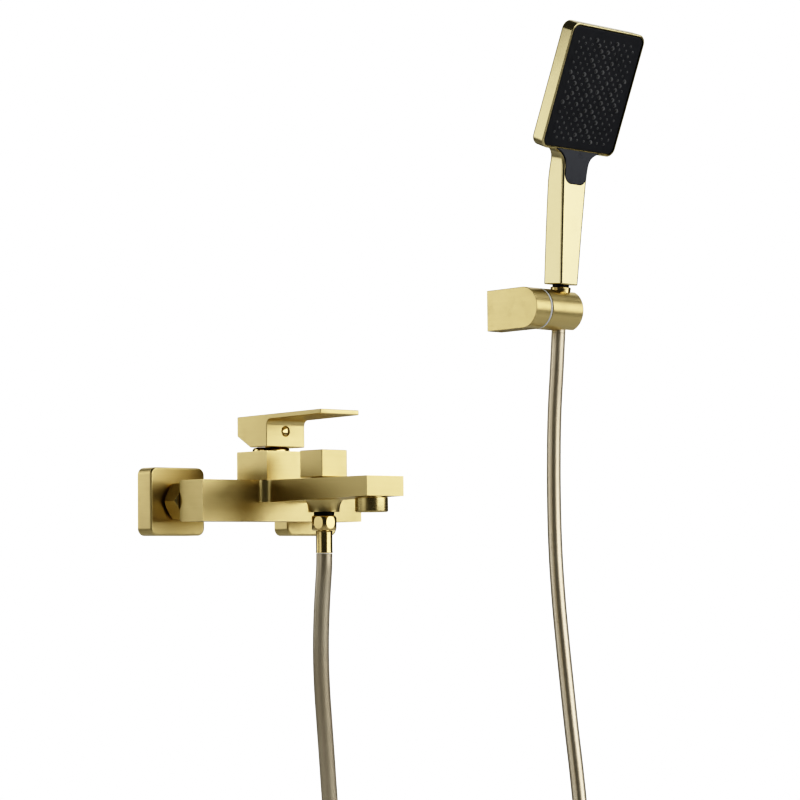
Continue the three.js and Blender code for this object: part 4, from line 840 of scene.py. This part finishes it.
def holder_barrel():
    end = [(0, BARREL_LEFT), (19.1, BARREL_LEFT), (HOLDER_RADIUS, BARREL_LEFT + 0.5)]
    far = [(HOLDER_RADIUS, BARREL_RIGHT - 1.4), (19.4, BARREL_RIGHT - 0.7), (18.9, BARREL_RIGHT - 0.2),
           (18.2, BARREL_RIGHT), (0, BARREL_RIGHT)]
    body = placed(turned(end + far, 112), ALONG_X, on_axis)
    cone = placed(turned([(0, -8.3), (8.6, -8.3), (10.39, 24), (0, 24)], 72), SHOWER)
    way = placed(rod(7.7, -26, 0, 56), SHOWER)
    slot = placed(block(0, 40, -7.3, 7.3, -28, 28), SHOWER)
    bolt_way = placed(rod(3.3, 335, 351, 32), ALONG_X, on_axis)
    spring_seat = placed(rod(8.4, 336, 339.4, 32), ALONG_X, on_axis)
    return cut(body, cone, way, slot, bolt_way, spring_seat)


ring_section = [(9, RING_LEFT), (19.1, RING_LEFT), (19.4, RING_LEFT + 0.3), (19.4, RING_RIGHT - 0.3),
                (19.1, RING_RIGHT), (9, RING_RIGHT)]
ring = placed(turned(ring_section, 96), ALONG_X, on_axis)
finished(ring, "white_ring", white_plastic, "root", ["friction_ring"])
finished(holder_barrel(), "holder_barrel", turned_gold, "swivel_barrel", ["swivel_barrel"])

# %% [markdown]
# ## Hand shower shell
# The shell is plated plastic in two volumes. The head is a shallow rounded box, tilted forward. The handle
# starts as a rounded square and widens through its neck until it meets the head. A ring of edges is laid on
# the first section and extruded from section to section, each new ring moved to its own size, depth and
# tilt. The two are then joined, and beds for the spray face and the button are cut out of the front.

# %% head and handle
HEAD_WIDTH, HEAD_LENGTH, HEAD_CORNER, HEAD_HALF = 101, 121, 9, 7.8
NECK_Z = 134.5
IN_HEAD = at(0, -23.9, 211.5) @ Matrix.Rotation(math.radians(107.4), 4, "X")
ON_NECK = at(0, -12.6, NECK_Z) @ Matrix.Rotation(math.radians(94), 4, "X")
HANDLE = [  # height, middle, tilt in degrees, width, depth, corner radius
    (24.7, 0, 0, 22.6, 23.0, 1.7), (25.1, 0, 0, 23.4, 23.8, 2.2), (25.9, 0, 0, 23.8, 24.2, 2.5),
    (50, -0.2, 0, 26.0, 23.9, 2.6), (75, -0.4, 0, 28.2, 23.5, 2.7), (100, -0.9, 1, 30.6, 22.9, 2.8),
    (124, -1.5, 3, 33.0, 22.2, 3.0), (134, -2.5, 5, 34.4, 21.1, 3.2), (140, -3.4, 7, 35.6, 20.2, 3.3),
    (144, -4.1, 9, 37.0, 19.2, 3.4), (147, -4.6, 11, 39.4, 18.2, 3.4), (149.4, -5.0, 13, 43.0, 17.2, 3.3),
    (151.2, -5.3, 15, 47.6, 16.3, 3.1), (152.4, -5.5, 16.5, 52.6, 15.5, 3.0),
    (153.6, -5.8, 17.4, 58.0, 14.8, 2.8), (160, -7.8, 17.4, 58.0, 13.0, 2.6),
]


def handle_skin():
    bm = bmesh.new()
    ring, corners = None, None
    for height, middle, tilt, width, depth, radius in HANDLE:
        outline = rounded(width, depth, radius, 6)
        if ring is None:
            start = bmesh.ops.create_circle(bm, cap_ends=True, radius=1, segments=len(outline))
            corners = start["verts"]
            ring = list({edge for vertex in corners for edge in vertex.link_edges})
        else:
            grown = bmesh.ops.extrude_edge_only(bm, edges=ring)["geom"]
            copies = [g for g in grown if isinstance(g, bmesh.types.BMVert)]
            corners = [next(edge.other_vert(old) for edge in old.link_edges if edge.other_vert(old) in copies)
                       for old in corners]
            ring = [g for g in grown if isinstance(g, bmesh.types.BMEdge)]
        lay = at(0, middle, height) @ Matrix.Rotation(math.radians(tilt), 4, "X")
        for vertex, (x, y) in zip(corners, outline):
            vertex.co = lay @ Vector((x, y, 0))
    bmesh.ops.contextual_create(bm, geom=ring)
    bmesh.ops.recalc_face_normals(bm, faces=bm.faces)
    return bm


def head_box():
    box = pulled(rounded(HEAD_WIDTH, HEAD_LENGTH, HEAD_CORNER, 12), -HEAD_HALF, HEAD_HALF)
    soften(box, 1.2, 4, where=lambda middle: middle.z > 0)
    soften(box, 3.0, 5, where=lambda middle: middle.z < -HEAD_HALF + NEAR)
    return placed(box, IN_HEAD)


# %% outlines of the spray face and of the button
FACE_WIDTH, FACE_LENGTH, FACE_CORNER = 96.4, 116.4, 7.2
BUTTON_HALF, BUTTON_FOOT, BUTTON_CORNER = 14.8, 130, 9
BUTTON_SIDE = [(BUTTON_HALF, BUTTON_FOOT), (15.0, 136), (15.6, 140), (16.8, 143.5), (18.6, 146.4),
               (21.2, 148.8), (24.4, 150.7), (28.2, 152.2), (29.4, 153.0)]


def button_outline(grow=0.0):
    """Half widths of the button by height on the neck, closed by a round foot, about the neck's middle."""
    foot = arc(BUTTON_HALF - BUTTON_CORNER, BUTTON_FOOT, BUTTON_CORNER + grow, -90, 0, 8)[:-1]
    right = foot + [(x + grow, z) for x, z in BUTTON_SIDE]
    right = [(x, z - NECK_Z) for x, z in right]
    return right + [(-x, z) for x, z in reversed(right)]


# %% shell
FACE_GAP, BUTTON_GAP = 0.4, 0.35  # the dark lines round the face and round the button


def shower_body():
    face_outline = rounded(FACE_WIDTH + 2 * FACE_GAP, FACE_LENGTH + 2 * FACE_GAP, FACE_CORNER + FACE_GAP, 12)
    face_bed = placed(pulled(face_outline, HEAD_HALF - 3.4, HEAD_HALF + 3), IN_HEAD)
    button_bed = placed(pulled(button_outline(BUTTON_GAP), -4.4, 8), ON_NECK)
    bore = rod(7.6, 20, 112, 40)
    shell = cut(joined(head_box(), handle_skin()), face_bed, button_bed, bore)
    return placed(shell, SHOWER)


finished(shower_body(), "shower_body", plated_gold, "hand_shower", ["shower_shell"])

# %% [markdown]
# ## Spray face and nozzles
# The face is a matt black plate with soft edges. Through it stand 178 silicone nozzles in staggered rows of
# eight and nine. Wide ones form nested arrows and diamonds among the narrow ones. One narrow and one wide
# nozzle are turned, and copied to every place in the pattern, which is written below as rows of text.

# %% spray face
FACE_FRONT = HEAD_HALF - 0.35
face_plate = pulled(rounded(FACE_WIDTH, FACE_LENGTH, FACE_CORNER, 12), HEAD_HALF - 3.1, FACE_FRONT)
soften(face_plate, 1.3, 4, where=lambda middle: middle.z > FACE_FRONT - NEAR)
face_plate = placed(face_plate, IN_HEAD, SHOWER)
finished(face_plate, "face_plate", face_black, "hand_shower", ["spray_face"])

# %% nozzles
PATTERN = """
..O..O.. ...O.O... ...OO... ....O.... ..O..O.. ...O.O... ...OO...
O.O.O.O.O O.O..O.O .O.O.O.O. .O.OO.O. .O.O.O.O. O.O..O.O O.O.O.O.O
...OO... ...O.O... ..O..O.. ....O.... ...OO... ...O.O... ..O..O..
""".split()
NOZZLE_STEP, ROW_STEP, TOP_ROW = 9.4, 4.83, 47.6
NARROW, WIDE = (0.85, 0.9), (1.75, 1.5)  # radius and rise of a nozzle


def nozzle(radius, rise):
    foot = radius + 0.5
    profile = [(0, -0.6), (foot, -0.6), (foot, 0.05), (radius + 0.15, 0.15), (radius, 0.35),
               (radius * 0.9, rise * 0.75), (radius * 0.62, rise), (radius * 0.3, rise * 0.94),
               (0, rise * 0.9)]
    template = bpy.data.meshes.new("nozzle")
    turned(profile, 14).to_mesh(template)
    return template


def nozzle_field():
    shapes = {".": nozzle(*NARROW), "O": nozzle(*WIDE)}
    field = bmesh.new()
    for row, line in enumerate(PATTERN):
        for column, mark in enumerate(line):
            before = len(field.verts)
            field.from_mesh(shapes[mark])
            field.verts.ensure_lookup_table()
            spot = at((column - (len(line) - 1) / 2) * NOZZLE_STEP, TOP_ROW - row * ROW_STEP, FACE_FRONT)
            bmesh.ops.transform(field, matrix=spot, verts=field.verts[before:])
    return placed(field, IN_HEAD, SHOWER)


finished(nozzle_field(), "nozzle_tips", silicone, "hand_shower", ["nozzle_mat"])

# %% [markdown]
# ## Mode button
# The black tongue on the neck is the button that changes the spray. Its outline follows the flare of the
# neck, and its front edge is well rounded so that a thumb slides on to it.

# %% button
BUTTON_BACK, BUTTON_FRONT = -2.1, 0.9
button = pulled(button_outline(), BUTTON_BACK, BUTTON_FRONT)
soften(button, 0.9, 4, sharper=40, where=lambda middle: middle.z > BUTTON_FRONT - NEAR)
button = placed(button, ON_NECK, SHOWER)
finished(button, "thumb_button", button_black, "mode_button", ["mode_button"])

# %% [markdown]
# ## Inner parts
# The parts that stay as the imported model draws them are mostly hidden: the cartridge, the valve, the
# washers and the screws. They still show when the lever is up, or from behind, so each gets the finish of
# the real part.

# %% finishes for the parts that stay
KEPT = {
    raw_brass: ["eccentric_union_left", "eccentric_union_right", "cartridge_spindle", "diverter_spindle",
                "diverter_bonnet"],
    rubber: ["inlet_filter_left", "inlet_filter_right", "cartridge_seal", "diverter_seal", "aerator_washer",
             "hose_washer_lower", "hose_washer_upper", "nozzle_mat"],
    grey_plastic: ["cartridge_case", "cartridge_turret", "disc_carrier"],
    ceramic: ["fixed_disc", "moving_disc"],
    steel: ["turret_pin", "lever_set_screw", "diverter_grub_screw", "holder_wall_plate", "holder_grub_screw",
            "pivot_bolt", "wave_washer", "holder_wall_screw_upper", "holder_wall_screw_lower",
            "button_spring"],
    white_plastic: ["check_valve", "spray_distributor"],
    black_plastic: ["handle_water_tube"],
}
DEFAULTS = {"hose_skin": hose_gold, "polished_gold": polished_gold, "black_plastic": black_plastic,
            "plated_plastic": plated_gold, "white_plastic": white_plastic, "grey_plastic": grey_plastic}
dressed = {name: material for material, names in KEPT.items() for name in names}
for part in frame["record"]["subparts"]:
    node = nodes[part["node"]]
    material = dressed.get(part["node"]) or DEFAULTS.get(part["material_slot"], brushed_gold)
    for slot in node.material_slots:
        slot.material = material
refined = sum(node.hide_render for node in nodes.values())
print("dressed", len(nodes), "parts,", refined, "of them refined above")

# %% [markdown]
# ## Floor and light
# Polished and brushed metal show what stands round them more than their own colour. Here that is a few
# large softboxes and darkness. The strongest stands in front and to the right, and the faces that look into
# the room mirror it. Weaker ones stand to the left and behind, where the end faces mirror them, and one
# hangs above. A glow from the backdrop lights what looks away from the viewer, and a small card lifts the
# holder. What looks straight at the viewer, such as the middle of a round part, mirrors the dark side of
# the studio, which gives the metal its depth. The view then gets a gentle S-shaped curve, because metal
# looks richer with more contrast than the eye sees.

# %% floor
FLOOR_Z, FLOOR_HALF = -0.62, 12


def white_to_viewer(tree, lit):
    """The floor stays pure white for the viewer, whatever light falls on it, and clear from below."""
    white = add(tree, "ShaderNodeEmission", {"Color": (1, 1, 1, 1), "Strength": 1.0})
    seen = add(tree, "ShaderNodeLightPath").outputs["Is Camera Ray"]
    mixed = add(tree, "ShaderNodeMixShader", {0: seen, 1: lit, 2: white.outputs[0]})
    below = add(tree, "ShaderNodeNewGeometry").outputs["Backfacing"]
    clear = add(tree, "ShaderNodeBsdfTransparent")
    ending = add(tree, "ShaderNodeMixShader", {0: below, 1: mixed.outputs[0], 2: clear.outputs[0]})
    tree.links.new(ending.outputs[0], tree.nodes["Material Output"].inputs["Surface"])


def pale_floor():
    bm = bmesh.new()
    bmesh.ops.create_grid(bm, x_segments=8, y_segments=8, size=FLOOR_HALF)
    floor = mesh_object(placed(bm, at(0, 0, FLOOR_Z)), "floor")
    material, tree, shader, place = new_material("pale floor", 0.6, 0.0, (0.9, 0.9, 0.9))
    cloud = noise(tree, place["Object"], 3.0)
    tree.links.new(blended(tree, cloud, (0.88, 0.88, 0.88), (0.92, 0.92, 0.92)), shader.inputs["Base Color"])
    white_to_viewer(tree, shader.outputs[0])
    floor.data.materials.append(material)


pale_floor()
print("floor at", FLOOR_Z, "m")

# %% softboxes, in metres, degrees and watts
MIDDLE, ABOVE_HOLDER = Vector((0.12, -0.08, 0.08)), Vector((0.34, -0.05, 0.28))
SOFTBOXES = [  # name, azimuth, elevation, distance, width, height, power, what it looks at
    ("front right softbox", 26, 13, 2.3, 2.8, 1.5, 16, MIDDLE),
    ("back left softbox", 219, 7, 2.3, 1.8, 1.3, 2.2, MIDDLE),
    ("left softbox", 262, 10, 2.3, 1.3, 1.3, 3, MIDDLE),
    ("top softbox", 40, 52, 2.3, 1.6, 1.0, 7, MIDDLE),
    ("backdrop glow", 137, 28, 2.3, 2.8, 2.4, 11, MIDDLE),
    ("holder card", 226, 2, 1.0, 0.4, 0.7, 0.5, ABOVE_HOLDER),
]


def softbox(name, azimuth, elevation, distance, width, height, watts, aim):
    """A rectangular light round the object. Azimuth 0 is in front of the wall, and 90 is to the right."""
    turn, lift = math.radians(azimuth), math.radians(elevation)
    data = bpy.data.lights.new(name, "AREA")
    data.shape, data.size, data.size_y, data.energy = "RECTANGLE", width, height, watts
    lamp = bpy.data.objects.new(name, data)
    bpy.context.scene.collection.objects.link(lamp)
    away = Vector((math.sin(turn) * math.cos(lift), -math.cos(turn) * math.cos(lift), math.sin(lift)))
    lamp.location = aim + distance * away
    lamp.rotation_euler = away.to_track_quat("Z", "Y").to_euler()
    lamp.visible_camera = False


for row in SOFTBOXES:
    softbox(*row)

# %% surroundings and contrast
ROOM_GLOW = 0.06
ALL_COLOURS = 3  # the number of the curve that bends red, green and blue together
CONTRAST = [(0.024, 0.005), (0.048, 0.02), (0.077, 0.05), (0.114, 0.1), (0.176, 0.2), (0.3, 0.4), (0.44, 0.6),
            (0.64, 0.8), (0.86, 0.94)]


def surroundings():
    world = bpy.data.worlds.new("studio")
    world.use_nodes = True
    bpy.context.scene.world = world
    tree = world.node_tree
    tree.nodes.clear()
    room = add(tree, "ShaderNodeBackground", {"Color": (0.9, 0.95, 1.0, 1), "Strength": ROOM_GLOW})
    white = add(tree, "ShaderNodeBackground", {"Color": (1, 1, 1, 1), "Strength": 1.0})
    seen = add(tree, "ShaderNodeLightPath").outputs["Is Camera Ray"]
    mixed = add(tree, "ShaderNodeMixShader", {0: seen, 1: room.outputs[0], 2: white.outputs[0]})
    output = add(tree, "ShaderNodeOutputWorld")
    tree.links.new(mixed.outputs[0], output.inputs["Surface"])


def more_contrast():
    view = bpy.context.scene.view_settings
    view.view_transform = "Standard"
    view.use_curve_mapping = True
    view.curve_mapping.extend = "HORIZONTAL"
    for seen, printed in CONTRAST:
        view.curve_mapping.curves[ALL_COLOURS].points.new(seen, printed)
    view.curve_mapping.update()


surroundings()
more_contrast()
print("view", bpy.context.scene.view_settings.view_transform, "with", len(CONTRAST), "points of contrast")
